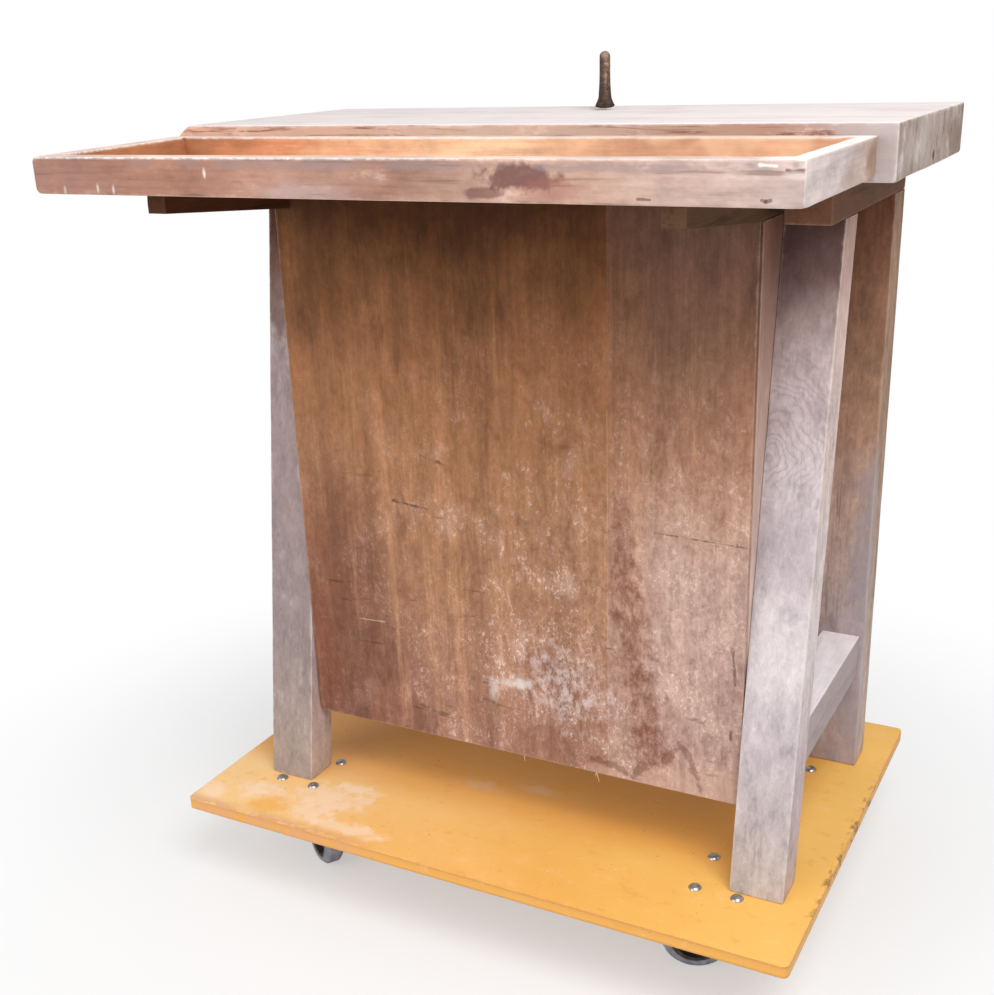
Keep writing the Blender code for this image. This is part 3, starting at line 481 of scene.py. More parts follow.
def tray_base(look, front, right, left):
    """Tones of the tray: mauve outside, orange inside and pale on the rim."""
    inside = (
        (-0.49, 170, 116, 82), (-0.3, 212, 147, 108), (0.0, 240, 202, 166), (0.2, 201, 156, 126),
        (0.45, 211, 164, 131),
    )
    outer_front = (
        (-0.5, 160, 121, 108), (-0.36, 164, 120, 102), (-0.22, 158, 116, 97), (-0.11, 174, 136, 120),
        (0.02, 150, 113, 98), (0.25, 194, 159, 142), (0.36, 196, 168, 156), (0.48, 188, 167, 160),
    )
    outer_right = (
        (-0.39, 212, 197, 194), (-0.26, 206, 190, 187), (-0.2, 196, 175, 166), (-0.1, 178, 149, 132),
    )
    rim = (
        (-0.5, 228, 205, 192), (0.1, 218, 194, 182), (0.43, 214, 190, 180), (0.462, 240, 231, 226),
        (0.49, 240, 231, 226),
    )
    look.colour = look.base((X, inside))
    look.cover(front, (X, outer_front))
    look.cover(right, (Y, outer_right))
    look.cover(left, (164, 124, 109))
    look.colour = look.mix(look.facing(UP), look.colour, look.tones(look.axes[X], rim))


def tray_stains(look):
    """Dark, reddish, grey and brown stains on the tray's front."""
    stains = (
        ((0.186, 1.117, 0.04, 0.014), (98, 58, 60), 0.8, 0.55),
        ((0.143, 1.1, 0.026, 0.006), (98, 58, 60), 0.6, 0.55),
        ((0.225, 1.106, 0.036, 0.01), (160, 104, 92), 0.5, 0.6, 0.6),
        ((-0.09, 1.097, 0.05, 0.008), (180, 162, 166), 0.4, 0.6, 0.6),
        ((-0.43, 1.108, 0.06, 0.03), (140, 104, 96), 0.4, 0.6, 0.8),
    )
    for spot, *finish in stains:
        look.marks(TRAY_FRONT, (spot,), *finish)


def tray_scratches_and_shadow_line(look, spots):
    """Scratches, nicks and chips on the tray's outer faces, and a painted shadow line under the rim."""
    # Painted shadow: a broken dark grey line along the front face just under the rim.
    painted_shadow_line = ((-0.33, 1.1262), (0.45, 1.1272), 0.008)
    scrape = ((0.44, 1.131), (0.456, 1.13), 0.0032)
    nicks = (
        ((0.443, 1.0988), (0.447, 1.0976), 0.0022), ((0.447, 1.0976), (0.452, 1.0986), 0.0022),
        ((0.317, 1.0972), (0.33, 1.0966), 0.0022), ((0.466, 1.1262), (0.4835, 1.1268), 0.0022),
    )
    chips = ((-0.225, 1.116, 0.7), (-0.394, 1.096, 0.5), (-0.369, 1.0945, 0.5), (-0.449, 1.0925, 0.35))
    chip_reach = (0.0019, 0.0048)
    grey_spot = (0.4745, 1.131, 0.003, 0.005)
    pale_spot = (0.4745, 1.1215, 0.011, 0.003)
    end_stain = (-0.13, 1.116, 0.018, 0.014)
    end_smear = (-0.23, 1.103, 0.03, 0.008)
    look.scratches(TRAY_FRONT, (painted_shadow_line,), (150, 134, 136), 0.5, 0.6, (spots, 0.6, 0.44))
    look.scratches(TRAY_FRONT, (scrape,), (240, 233, 230), 0.8, 0.6)
    look.scratches(TRAY_FRONT, nicks, (84, 62, 54), 0.65, 0.9)
    look.marks(TRAY_FRONT, (grey_spot,), (150, 134, 130), 0.5, 0.6, 0.7)
    look.marks(TRAY_FRONT, (pale_spot,), (230, 214, 210), 0.5, 0.2, 0.5)
    for x, z, strength in chips:
        look.marks(TRAY_FRONT, ((x, z, *chip_reach),), (238, 228, 222), strength, 0.35, 0.7)
    look.marks(TRAY_END, (end_stain,), (138, 100, 82), 0.5, 0.6, 0.6)
    look.marks(TRAY_END, (end_smear,), (176, 146, 134), 0.5, 0.6, 0.6)


def tray_wood():
    """One finish for the four boards of the tray."""
    look = Shader("tray_wood")
    across = look.axes[X]
    cloud = look.noise(8, shift=16)
    look.wander(cloud, 0.1)
    sideways = look.plus(look.facing(RIGHT), look.facing(LEFT))
    along_x = look.noise(150, X, 0.05, shift=11)
    along_y = look.noise(150, Y, 0.05, shift=14)
    grain = look.plus(look.times(along_y, sideways), look.times(along_x, look.without(sideways)))
    spots = look.noise(17, Z, 2.0, shift=38, detail=5, rough=0.68)
    front = tray_outside(look, FRONT, Y, tray_low[Y])
    right = tray_outside(look, RIGHT, X, tray_high[X])
    left = tray_outside(look, LEFT, X, tray_low[X])
    tray_base(look, front, right, left)
    look.mottle(grain, 0.12)
    look.mottle(spots, 0.22)
    look.stain((112, 76, 64), 0.4, (grain, 0.42, 0.3), front)
    look.stain((160, 138, 130), 0.4, (spots, 0.44, 0.3), right)
    outer = look.plus(front, right)
    look.stain((222, 202, 194), 0.4, (spots, 0.58, 0.74), outer, (across, -0.3, 0.2, 0.2, 1.0))
    tray_stains(look)
    look.stain((244, 208, 174), 0.45, (cloud, 0.5, 0.62), look.without(outer, left), (across, -0.35, -0.1))
    tray_scratches_and_shadow_line(look, spots)
    look.worn_edge((228, 213, 206), 0.32)
    nicked = look.noise(120, X, 0.5, shift=27, rough=0.7)
    pale_edge = look.times((look.edge(), 0.4, 0.8), (nicked, 0.44, 0.6, 0.35, 1.0))
    upper_left = look.times((across, -0.1, 0.25, 1.0, 0.45), (look.axes[Z], 1.122, 1.13))
    look.stain((242, 232, 227), 0.75, pale_edge, upper_left)
    look.bump(grain, GRAIN_DEPTH)
    return look.done()


def tray_floor_wood():
    look = plank("tray_floor_wood", X, (206, 164, 136), shift=37, dark=(150, 104, 80))
    dust = look.noise(24, shift=1, detail=5)
    look.stain((230, 214, 204), 0.35, (dust, 0.4, 0.7))
    return worn_plank(look, (226, 206, 194), 0.3)


def arm_wood(side):
    tone = (72, 43, 25) if side == "left" else (96, 70, 51)
    shift = 41.0 if side == "left" else 43.0
    look = plank(f"arm_{side}_wood", Y, tone, shift=shift, streaks=0.25, dark=(38, 24, 16))
    return worn_plank(look, (110, 80, 62), 0.35)


def bearer_wood():
    look = plank("bearer_wood", Y, (115, 81, 61), shift=47, streaks=0.2, dark=(66, 46, 38))
    return worn_plank(look, (156, 130, 115), 0.4)


def curly_figure(look):
    """Wavy rings round a knot in the front right leg, and a grey spot beside them."""
    knot = (0.37, -0.077, 0.742)
    flatten = (1.0, 0.0, 0.8)
    rings_per_metre = 105.0
    waviness = 5.5
    offset = look.vector("SUBTRACT", look.place, knot)
    distance = look.vector("LENGTH", look.vector("MULTIPLY", offset, flatten))
    wave = look.noise(26, shift=9, detail=2, rough=0.5)
    rings = look.plus(look.times(distance, rings_per_metre), look.times(wave, waviness))
    curl = look.math("PINGPONG", rings, 0.5)
    where = look.blob((0.385, -0.07, 0.78), (0.075, 0.1, 0.085), 0.4, 0.7)
    look.stain((134, 112, 100), 0.3, (curl, 0.2, 0.0), where)
    look.stain((220, 210, 206), 0.15, (curl, 0.25, 0.5), where)
    look.stain((146, 132, 132), 0.5, look.blob((0.43, -0.067, 0.806), (0.012, 0.03, 0.022), 0.6, 0.7))


def front_leg_wood(side):
    """Grey legs, dark under the tray."""
    faces = {
        "right": (
            (0.15, 184, 173, 170), (0.36, 186, 175, 179), (0.75, 194, 181, 184),
            (0.88, 172, 154, 151), (0.98, 118, 93, 89), (1.04, 92, 66, 62),
        ),
        "left": (
            (0.15, 165, 149, 140), (0.4, 146, 131, 129), (0.8, 162, 144, 143),
            (0.92, 115, 86, 76), (1.0, 80, 54, 43), (1.07, 72, 50, 41),
        ),
    }
    outer_face = (
        (0.15, 192, 172, 162), (0.3, 190, 173, 177), (0.6, 221, 206, 202), (0.85, 214, 189, 180),
        (1.0, 196, 163, 152), (1.07, 165, 132, 120),
    )
    shift = 59.0 if side == "right" else 53.0
    sides = ((RIGHT, (Z, outer_face)),)
    name = f"front_leg_{side}_wood"
    look = plank(name, Z, (Z, faces[side]), sides, shift, 0.07, 0.2, (122, 100, 95), 0.25)
    height = look.axes[Z]
    curly_figure(look)
    look.stain((150, 141, 150), 0.4, (look.spots, 0.44, 0.3), (height, 0.95, 0.8))
    smear = look.noise(20, Z, 0.5, shift=21, detail=4)
    look.stain((228, 220, 220), 0.35, (smear, 0.54, 0.72), (height, 0.98, 0.85))
    look.stain((228, 219, 219), 0.5, look.blob((0.4, -0.115, 0.49), (0.06, 0.06, 0.06), 0.6, 0.8))
    look.stain((164, 154, 158), 0.5, look.blob((0.4, -0.095, 0.63), (0.06, 0.06, 0.04), 0.6, 0.8))
    wisps = look.noise(150, Z, 0.45, shift=29, detail=4, rough=0.65, warp=1.2)
    look.mottle(wisps, 0.12)
    return worn_plank(look, (226, 216, 211), 0.45)


def rear_leg_wood(side):
    """Brown legs, bleached grey towards the floor along the right edge."""
    face = (
        (0.15, 176, 159, 157), (0.44, 182, 164, 160), (0.58, 196, 166, 151), (0.72, 174, 136, 114),
        (0.86, 158, 119, 96), (1.06, 124, 81, 60),
    )
    outer = ((0.15, 198, 177, 162), (0.35, 188, 167, 153), (0.7, 163, 133, 111), (1.05, 161, 127, 106))
    right = 0.444 if side == "right" else -0.406
    bleached = ((right, 0.6, 0.026, 0.07), (right, 0.48, 0.032, 0.08), (right, 0.27, 0.06, 0.14))
    shift = 67.0 if side == "right" else 61.0
    sides = ((RIGHT, (Z, outer)),)
    look = plank(f"rear_leg_{side}_wood", Z, (Z, face), sides, shift, 0.16, 0.26, (84, 52, 38), 0.45)
    wisps = look.noise(120, Z, 0.5, shift=31, detail=4, rough=0.65, warp=0.8)
    look.mottle(wisps, 0.16)
    look.marks(REAR_LEG_FRONT, bleached, (168, 160, 168), 0.6, 0.5, 0.5)
    return worn_plank(look, (188, 170, 156), 0.25)


def stretcher_wood():
    sides = ((UP, (236, 227, 230)),)
    look = plank("stretcher_wood", Y, (172, 157, 157), sides, 71.0, 0.06, 0.1, (128, 110, 106))
    return worn_plank(look, (226, 217, 214), 0.4)


def rear_rail_wood():
    sides = ((UP, (206, 192, 184)),)
    look = plank("rear_rail_wood", X, (158, 130, 114), sides, 73.0, 0.12, 0.18, (104, 78, 64))
    return worn_plank(look, (206, 190, 180), 0.4)


def cheek_wood():
    face = ((0.26, 190, 168, 158), (0.6, 206, 182, 171), (0.85, 190, 158, 146), (1.05, 128, 86, 68))
    look = plank("cheek_wood", Z, (Z, face), shift=79, blotches=0.16, dark=(120, 80, 64))
    return worn_plank(look, (214, 188, 173), 0.35)


# Panel

def panel_base(look, level):
    """Two sheets of veneer, reddish at the left and paler beyond their joint, dark above: partly their own
    tone, partly painted shade under the tray.
    """
    # The upper stops darken the veneer partly by its own tone and partly by painted shade under the tray.
    veneer = (
        (0.26, 158, 117, 100), (0.55, 164, 119, 89), (0.68, 163, 116, 82), (0.8, 151, 103, 71),
        (0.93, 115, 75, 46), (1.06, 69, 39, 15),
    )
    lift_at_left = 0.03
    across = look.axes[X]
    at_left = look.span(look.plus(across, look.drift), -0.06, -0.3)
    look.colour = look.tones(look.math("SUBTRACT", level, look.times(at_left, lift_at_left)), veneer)
    look.stain((110, 66, 50), 0.68, at_left, (level, 0.82, 0.5))
    beyond_joint = (across, PANEL_JOINT - JOINT_WIDTH / 2, PANEL_JOINT + JOINT_WIDTH / 2)
    right_sheet = look.times(beyond_joint, (across, PANEL_JOINT, 0.27, 0.45, 1.0))
    look.stain((178, 152, 146), 1.0, right_sheet, (level, 0.76, 0.54, 0.16, 0.66))
    # Painted shade under the tray, with some of the sheet's own darker tone, on the right sheet's upper part.
    look.stain((84, 54, 40), 0.25, right_sheet, (level, 0.64, 0.82))


def panel_dust(look, level, flame, dirt):
    """Dust, flecks and grime, most of it low and away from the left edge."""
    low_part = look.span(level, 1.0, 0.4)
    dust = look.noise(190, Z, 0.7, shift=31, detail=4, rough=0.75, warp=1.2)
    patchy = look.times(low_part, (flame, 0.36, 0.6), (look.axes[X], -0.28, 0.02, 0.15, 1.0))
    look.stain((224, 200, 188), 0.45, (dust, 0.52, 0.74), patchy)
    clusters = look.noise(20, Z, 0.9, shift=57, detail=5, rough=0.62)
    look.stain((208, 176, 160), 0.45, (clusters, 0.5, 0.68), patchy)
    look.stain((132, 84, 62), 0.32, (clusters, 0.47, 0.32), low_part)
    flecks = look.noise(210, Z, 0.7, shift=51, rough=0.55, warp=0.8)
    look.stain((232, 210, 198), 0.75, (flecks, 0.54, 0.66), patchy, (clusters, 0.42, 0.6, 0.25, 1.0))
    look.stain((110, 70, 52), 0.32, (flecks, 0.42, 0.32), low_part)
    haze = (0.3, 0.56, 0.16, 0.16)
    look.marks(PANEL_FRONT, (haze,), (216, 192, 182), 0.22, 0.6, 0.8, (dirt, 0.36, 0.66))
    smear = look.noise(70, X, 0.18, shift=33)
    look.stain((76, 44, 32), 0.55, (smear, 0.35, 0.25), low_part)


def panel_stains(look, dirt):
    """The panel's red and pale stains, and the tide line along its foot."""
    red = (
        (0.188, 0.58, 0.018, 0.08), (0.206, 0.47, 0.017, 0.08), (0.222, 0.38, 0.018, 0.07),
        (0.236, 0.315, 0.026, 0.05),
    )
    pale = (0.1, 0.385, 0.056, 0.05)
    damp = ((0.165, 0.258, 0.034, 0.016), (0.255, 0.262, 0.046, 0.034), (0.33, 0.275, 0.04, 0.03))
    tide = (
        (0.141, 0.283), (0.169, 0.277), (0.188, 0.274), (0.203, 0.263), (0.215, 0.286), (0.245, 0.297),
        (0.263, 0.318), (0.276, 0.33), (0.289, 0.316), (0.305, 0.268),
    )
    tide_width = 0.009
    look.marks(PANEL_FRONT, red, (112, 58, 36), 0.55, 0.9, 0.7, (dirt, 0.62, 0.42, 0.45, 1.0))
    look.marks(PANEL_FRONT, (pale,), (216, 200, 200), 0.65, 0.9, 0.8, (dirt, 0.4, 0.62))
    look.marks(PANEL_FRONT, damp, (206, 172, 154), 0.45, 0.4, 0.4)
    line = 0.0
    for start, end in zip(tide[:-1], tide[1:]):
        line = look.math("MAXIMUM", line, look.line(PANEL_FRONT, start, end, tide_width, 1.2))
    look.stain((104, 58, 48), 0.5, line)


def panel_scratches(look, dirt):
    """Small pale and dark marks on the panel."""
    scuffs = ((-0.014, 0.362, 0.008, 0.018), (0.012, 0.375, 0.024, 0.006), (0.034, 0.377, 0.012, 0.006))
    pale = (((-0.244, 0.433), (-0.199, 0.435), 0.002), ((0.012, 0.52), (0.02, 0.49), 0.002))
    dark = (
        ((0.235, 0.64), (0.359, 0.637), 0.002), ((-0.17, 0.633), (-0.113, 0.627), 0.003),
        ((-0.119, 0.707), (-0.079, 0.697), 0.003), ((0.345, 0.492), (0.35, 0.44), 0.0028),
        ((0.345, 0.64), (0.345, 0.626), 0.0028), ((0.346, 0.37), (0.346, 0.358), 0.0028),
    )
    reddish = ((-0.322, 0.42, 0.018, 0.05), (-0.305, 0.33, 0.02, 0.05))
    look.marks(PANEL_FRONT, scuffs, (226, 214, 208), 0.5, 0.7, 0.7)
    look.scratches(PANEL_FRONT, pale, (206, 178, 162), 0.5, 0.8)
    look.scratches(PANEL_FRONT, dark, (66, 40, 30), 0.65, 0.9, (dirt, 0.4, 0.56))
    look.marks(PANEL_FRONT, reddish, (116, 62, 44), 0.45, 0.6, 0.7)


def panel_wood():
    """Veneered plywood, dark above, partly by painted shade under the tray, and dusty below."""
    joint = ((PANEL_JOINT, 0.26), (PANEL_JOINT, 0.8), 0.0014)
    look = Shader("panel_veneer", roughness=0.65)
    look.wander(look.noise(7, shift=12, detail=5, rough=0.65), 0.13)
    level = look.plus(look.axes[Z], look.drift)
    panel_base(look, level)
    bands = look.noise(16, Z, 0.06, shift=23)
    ribbon = look.noise(48, Z, 0.05, shift=2, detail=4, warp=0.3)
    fine = look.noise(330, Z, 0.05, shift=4, detail=2)
    flame = look.noise(30, Z, 0.4, shift=7, detail=5, rough=0.65, warp=0.8)
    dirt = look.noise(85, Z, 0.6, shift=15, detail=5, rough=0.75)
    fibres = look.noise(230, Z, 0.8, shift=41, warp=1.8)
    look.mottle(bands, 0.14)
    look.mottle(ribbon, 0.15)
    look.stain((206, 162, 116), 0.2, (ribbon, 0.54, 0.74), (level, 1.0, 0.75))
    for figure, amount in ((fine, 0.08), (flame, 0.17), (dirt, 0.18), (fibres, 0.07)):
        look.mottle(figure, amount)
    look.stain((98, 56, 40), 0.35, (flame, 0.42, 0.26))
    look.scratches(PANEL_FRONT, (joint,), (196, 160, 138), 0.35, 0.2)
    panel_dust(look, level, flame, dirt)
    panel_stains(look, dirt)
    panel_scratches(look, dirt)
    look.worn_edge((196, 162, 144), 0.35)
    look.bump(fine, 0.0004, 0.5)
    return look.done()


def splinter_wood():
    look = Shader("splinter_wood")
    look.colour = srgb(222, 190, 160)
    return look.done()


# Platform

def board_base(look):
    """Yellow film above, and the bare edges of the plywood."""
    film = (
        (-0.49, 252, 210, 148), (-0.3, 250, 200, 132), (-0.1, 251, 194, 114), (0.1, 241, 180, 90),
        (0.3, 243, 188, 97), (0.49, 246, 193, 104),
    )
    outer_layer = 0.005
    layers_per_metre = 333.0
    bottom, top = board_low[Z], board_high[Z]
    edge = (
        (bottom, 206, 144, 64), (bottom + outer_layer, 230, 170, 84), (top - outer_layer, 224, 164, 82),
        (top, 198, 142, 84),
    )
    look.colour = look.base((X, film))
    layers = look.math("PINGPONG", look.times(look.axes[Z], layers_per_metre), 0.5)
    faint = look.span(layers, 0.15, 0.35, 0.96, 1.02)
    sides = look.vector("SCALE", look.tones(look.axes[Z], edge), faint)
    look.colour = look.mix(look.without(look.facing(UP)), look.colour, sides)


def board_film():
    """Film-faced plywood, smudged and scuffed, with raw edges and painted shade under the panel."""
    smudges = (
        (-0.275, -0.193, 0.052, 0.03), (-0.394, -0.221, 0.034, 0.022), (-0.284, -0.236, 0.034, 0.024),
        (-0.248, -0.154, 0.03, 0.014), (-0.199, -0.256, 0.046, 0.014), (-0.462, -0.25, 0.02, 0.02),
        (0.012, -0.035, 0.024, 0.01), (-0.081, -0.061, 0.03, 0.012),
    )
    clear_spot = (-0.356, -0.248, 0.03, 0.02)
    look = Shader("board_film", roughness=0.45, gloss=0.25)
    across, depth = look.axes[X], look.axes[Y]
    look.wander(look.noise(6, shift=3, detail=4), 0.25)
    board_base(look)
    look.marks(BOARD_TOP, smudges, (255, 224, 192), 0.75, 0.8, 0.6)
    look.marks(BOARD_SKIN, (clear_spot,), (246, 182, 82), 0.8, 0.7, 0.5)
    wipe = look.noise(30, Y, 1.6, shift=8, detail=5, rough=0.7)
    look.stain((252, 212, 158), 0.3, (wipe, 0.54, 0.74))
    look.stain((224, 154, 66), 0.4, (wipe, 0.44, 0.28))
    # Painted shade: a warm, darker tint on the board just under and behind the panel's foot.
    painted_shade_under_panel = look.times((depth, -0.16, -0.08), (across, 0.42, 0.34))
    look.stain((232, 152, 62), 0.6, painted_shade_under_panel, look.facing(UP))
    grit = look.noise(210, shift=4, detail=2, rough=0.5)
    look.stain((120, 78, 34), 0.6, (grit, 0.735, 0.765))
    look.stain((252, 238, 218), 0.6, (grit, 0.255, 0.225))
    front_left = look.times((depth, -0.262, -0.283), (across, -0.1, -0.22))
    look.stain((216, 156, 116), 0.6, front_left, (wipe, 0.36, 0.5))
    ragged = look.noise(40, shift=6, detail=5, rough=0.7)
    right_edge = look.blob((0.48, 0.03, board_high[Z]), (0.2, 0.2, 0.1), 0.3, 0.4)
    look.stain((92, 62, 30), 0.8, (across, 0.472, 0.48), (ragged, 0.48, 0.6), right_edge)
    look.worn_edge((206, 146, 74), 0.4)
    look.bump(wipe, 0.0003, 0.3)
    return look.done()


# Metal, rubber and plastic

def zinc_metal():
    look = Shader("zinc", roughness=0.32, metallic=1.0, gloss=0.5)
    greys = ((0.34, 166, 166, 164), (0.5, 184, 184, 182), (0.66, 200, 200, 198))
    look.colour = look.tones(look.noise(300, shift=1, detail=2, rough=0.5), greys)
    rust = look.noise(90, shift=5, detail=4, rough=0.5)
    look.stain((126, 92, 70), 0.45, (rust, 0.6, 0.74))
    return look.done()


def iron_metal():
    """Rust-brown iron, dark near the slab, with painted shade on its left front side, bright on the crown."""
    browns = ((0.32, 70, 47, 35), (0.46, 104, 76, 60), (0.58, 140, 112, 93), (0.7, 170, 144, 124))
    painted_shade_side = (-0.88, -0.48, 0.0)
    look = Shader("rusty_iron", roughness=0.55, metallic=0.3, gloss=0.3)
    rust = look.noise(190, shift=2, detail=4, rough=0.7)
    look.colour = look.tones(rust, browns)
    look.stain((46, 32, 26), 0.8, (look.axes[Z], 1.205, 1.17))
    # Painted shade: faces turned to the left front are darkened.
    look.stain((62, 45, 36), 0.65, (look.vector("DOT_PRODUCT", look.normal, painted_shade_side), -0.1, 0.5))
    look.stain((190, 164, 142), 0.5, look.facing(UP), (look.axes[Z], 1.19, 1.215))
    look.bump(rust, 0.0006, 0.5)
    return look.done()


def tyre_rubber():
    look = Shader("grey_rubber", roughness=0.7, gloss=0.3)
    greys = ((0.34, 128, 131, 142), (0.5, 144, 147, 159), (0.66, 162, 164, 174))
    look.colour = look.tones(look.noise(80, shift=3, detail=4, rough=0.5), greys)
    return look.done()


def hub_plastic():
    look = Shader("hub_plastic", roughness=0.5, gloss=0.4)
    greys = ((0.34, 44, 44, 47), (0.5, 56, 56, 59), (0.66, 76, 75, 76))
    look.colour = look.tones(look.noise(90, shift=2, detail=4, rough=0.5), greys)
    return look.done()


# Worn pieces

def points_of(verts):
    return np.array([vert.co for vert in verts])


def cut_places(low, high, spacing):
    """Where a piece is cut along one axis, closest near its ends."""
    length = high - low
    places = []
    for cut in EDGE_CUTS:
        if cut < length / 2:
            places += [low + cut, high - cut]
    inner = length - 2 * EDGE_CUTS[-1]
    count = max(1, round(inner / spacing))
    for index in range(1, count):
        places.append(low + EDGE_CUTS[-1] + inner * index / count)
    return sorted(places)


def cut_up(work, low, high, spacing):
    for axis in (X, Y, Z):
        across = Vector((axis == X, axis == Y, axis == Z))
        for place in cut_places(low[axis], high[axis], spacing):
            everything = work.verts[:] + work.edges[:] + work.faces[:]
            bmesh.ops.bisect_plane(work, geom=everything, dist=WELD, plane_co=across * place, plane_no=across)


def edge_radius(point, wear, shift):
    """Radius of a worn edge at one point, wider where it is chipped."""
    place = Vector(point) + Vector((shift, shift, shift))
    wave = 1.0 + WAVE_SHARE * noise.noise(place * WAVE_SCALE)
    chip = max(0.0, noise.noise(place * CHIP_SCALE + CHIP_OFFSET) - CHIP_START) / CHIP_RANGE
    return wear.radius * wave + wear.chips * min(1.0, chip)


def round_corner(points, corner, inward, radius):
    """Rounds one upright corner of a box."""
    centre = np.array(corner) + np.array(inward) * radius
    offset = points[:, :2] - centre
    distance = np.linalg.norm(offset, axis=1)
    outside = (offset[:, 0] * inward[0] < 0) & (offset[:, 1] * inward[1] < 0) & (distance > radius)
    points[outside, :2] = centre + offset[outside] * (radius / distance[outside])[:, None]


def sag(points):
    """Lets the tray and its arms hang a little at the left front corner."""
    across = np.clip((SAG_RIGHT - points[:, X]) / (SAG_RIGHT - SAG_LEFT), 0.0, 1.0)
    forward = np.clip((SAG_BACK - points[:, Y]) / (SAG_BACK - SAG_FRONT), 0.0, 1.0)
    points[:, Z] -= SAG * across * forward


def close_fingers(work, long_axis):
    """Closes the gaps between a tray board's fingers, as if glued."""
    points = points_of(work.verts)
    low, high = points.min(0), points.max(0)
    for vert in work.verts:
        level = low[Z] + FINGER_STEP * round((vert.co.z - low[Z]) / FINGER_STEP)
        if abs(vert.co.z - level) < FINGER_GAP:
            vert.co.z = level
        for floor in (low[long_axis] + FINGER_DEPTH, high[long_axis] - FINGER_DEPTH):
            if abs(vert.co[long_axis] - floor) < FINGER_GAP:
                vert.co[long_axis] = floor


def fit_tray_board(points, lows, highs, inner, eased):
    """Keeps a tray board's inner edges sharp at its fingers, and may ease the top one."""
    axis, away = INNER_SIDES[inner]
    long_axis = 1 - axis
    limits = highs if away > 0 else lows
    along = points[:, long_axis]
    end_gap = np.minimum(along - lows[:, long_axis], highs[:, long_axis] - along)
    if eased:
        share = np.clip(1.0 - np.abs(points[:, axis] - limits[:, axis]) / EASED_WIDTH, 0.0, 1.0)
        drop = EASED_DEPTH * (1.0 - np.sqrt(1.0 - share ** 2))
        drop[end_gap < FINGER_DEPTH - FINGER_GAP] = 0.0
        highs[:, Z] -= drop
        points[:, Z] = np.minimum(points[:, Z], highs[:, Z])
    limits[end_gap < FINGER_REACH, axis] += away


def round_edges(points, lows, highs, wear, knock, shift):
    """Rounds and chips the edges, and gives how far each point was from one."""
    gaps = np.sort(np.minimum(points - lows, highs - points), axis=1)
    edge_gap, corner_gap = gaps[:, 1], gaps[:, 2]
    for index in np.nonzero(edge_gap < EDGE_CUTS[-1])[0]:
        radius = edge_radius(points[index], wear, shift)
        share = 1.0 if points[index][X] < 0.0 else RIGHT_SHARE
        radius += knock * share * max(0.0, 1.0 - corner_gap[index] / CORNER_REACH)
        inside = np.clip(points[index], lows[index] + radius, highs[index] - radius)
        offset = points[index] - inside
        distance = np.linalg.norm(offset)
        if distance > radius:
            points[index] = inside + offset * (radius / distance)
    return edge_gap


def add_object(name, data):
    thing = bpy.data.objects.new(name, data)
    bpy.context.scene.collection.objects.link(thing)
    return thing


def add_piece(name, work, material, sharp=SMOOTH_ANGLE):
    """An object from a worked mesh, shaded smooth up to an angle."""
    mesh = bpy.data.meshes.new(name)
    work.to_mesh(mesh)
    work.free()
    for kept in ("custom_normal", "sharp_edge"):
        if kept in mesh.attributes:
            mesh.attributes.remove(mesh.attributes[kept])
    mesh.shade_smooth()
    mesh.set_sharp_from_angle(angle=sharp)
    mesh.materials.append(material)
    return add_object(name, mesh)


def worn(
    node, slot, material, wear, lean=0.0,
    corners=(), inner=None, eased=False, hangs=False, knock=KNOCK,
):
    """A piece for one CAD node: its solid, with rounded and chipped edges.

    Lean is taken out while the edges are worn. Corners, with place, direction inward and radius, are rounded
    upright. Inner names the side of a tray board that faces into the tray.
    """
    work = bmesh.new()
    work.from_mesh(nodes[node].data)
    bmesh.ops.remove_doubles(work, verts=work.verts, dist=WELD)
    for vert in work.verts:
        vert.co.y -= lean * vert.co.z
    if inner:
        close_fingers(work, 1 - INNER_SIDES[inner][0])
    bmesh.ops.dissolve_limit(work, angle_limit=FLAT_ANGLE, verts=work.verts, edges=work.edges)
    points = points_of(work.verts)
    low, high = points.min(0), points.max(0)
    cut_up(work, low, high, wear.spacing)
    points = points_of(work.verts)
    for corner, inward, radius in corners:
        round_corner(points, corner, inward, radius)
    lows = np.tile(low, (len(points), 1))
    highs = np.tile(high, (len(points), 1))
    if inner:
        fit_tray_board(points, lows, highs, inner, eased)
    shift = TRAY_SHIFT if inner else sum(map(ord, node)) * SHIFT_STEP
    edge_gap = round_edges(points, lows, highs, wear, knock, shift)
    points[:, Y] += lean * points[:, Z]
    if hangs:
        sag(points)
    for vert, point in zip(work.verts, points):
        vert.co = point
    piece = add_piece(f"{node}_worn", work, material)
    marks = piece.data.attributes.new("edge", "FLOAT", "POINT")
    marks.data.foreach_set("value", np.exp(-edge_gap / EDGE_FADE).astype(np.float32))
    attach(piece, "bench")
    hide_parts(node)


def build_splinters(material):
    """Torn fibres that hang from the panel's lower edge."""
    work = bmesh.new()
    for x, drop, drift in SPLINTERS:
        root = Vector((x, panel_low[Y] + SPLINTER_INSET, panel_low[Z] + SPLINTER_ROOT))
        run = Vector((drift, 0.0, -drop - SPLINTER_ROOT))
        turn = run.to_track_quat("Z", "Y").to_matrix().to_4x4()
        bmesh.ops.create_cone(
            work, cap_ends=True, segments=SPLINTER_SIDES, radius1=SPLINTER_RADIUS, radius2=SPLINTER_TIP,
            depth=run.length, matrix=Matrix.Translation(root + run / 2) @ turn,
        )
    piece = add_piece("panel_splinters", work, material, sharp=math.pi)
    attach(piece, "bench")


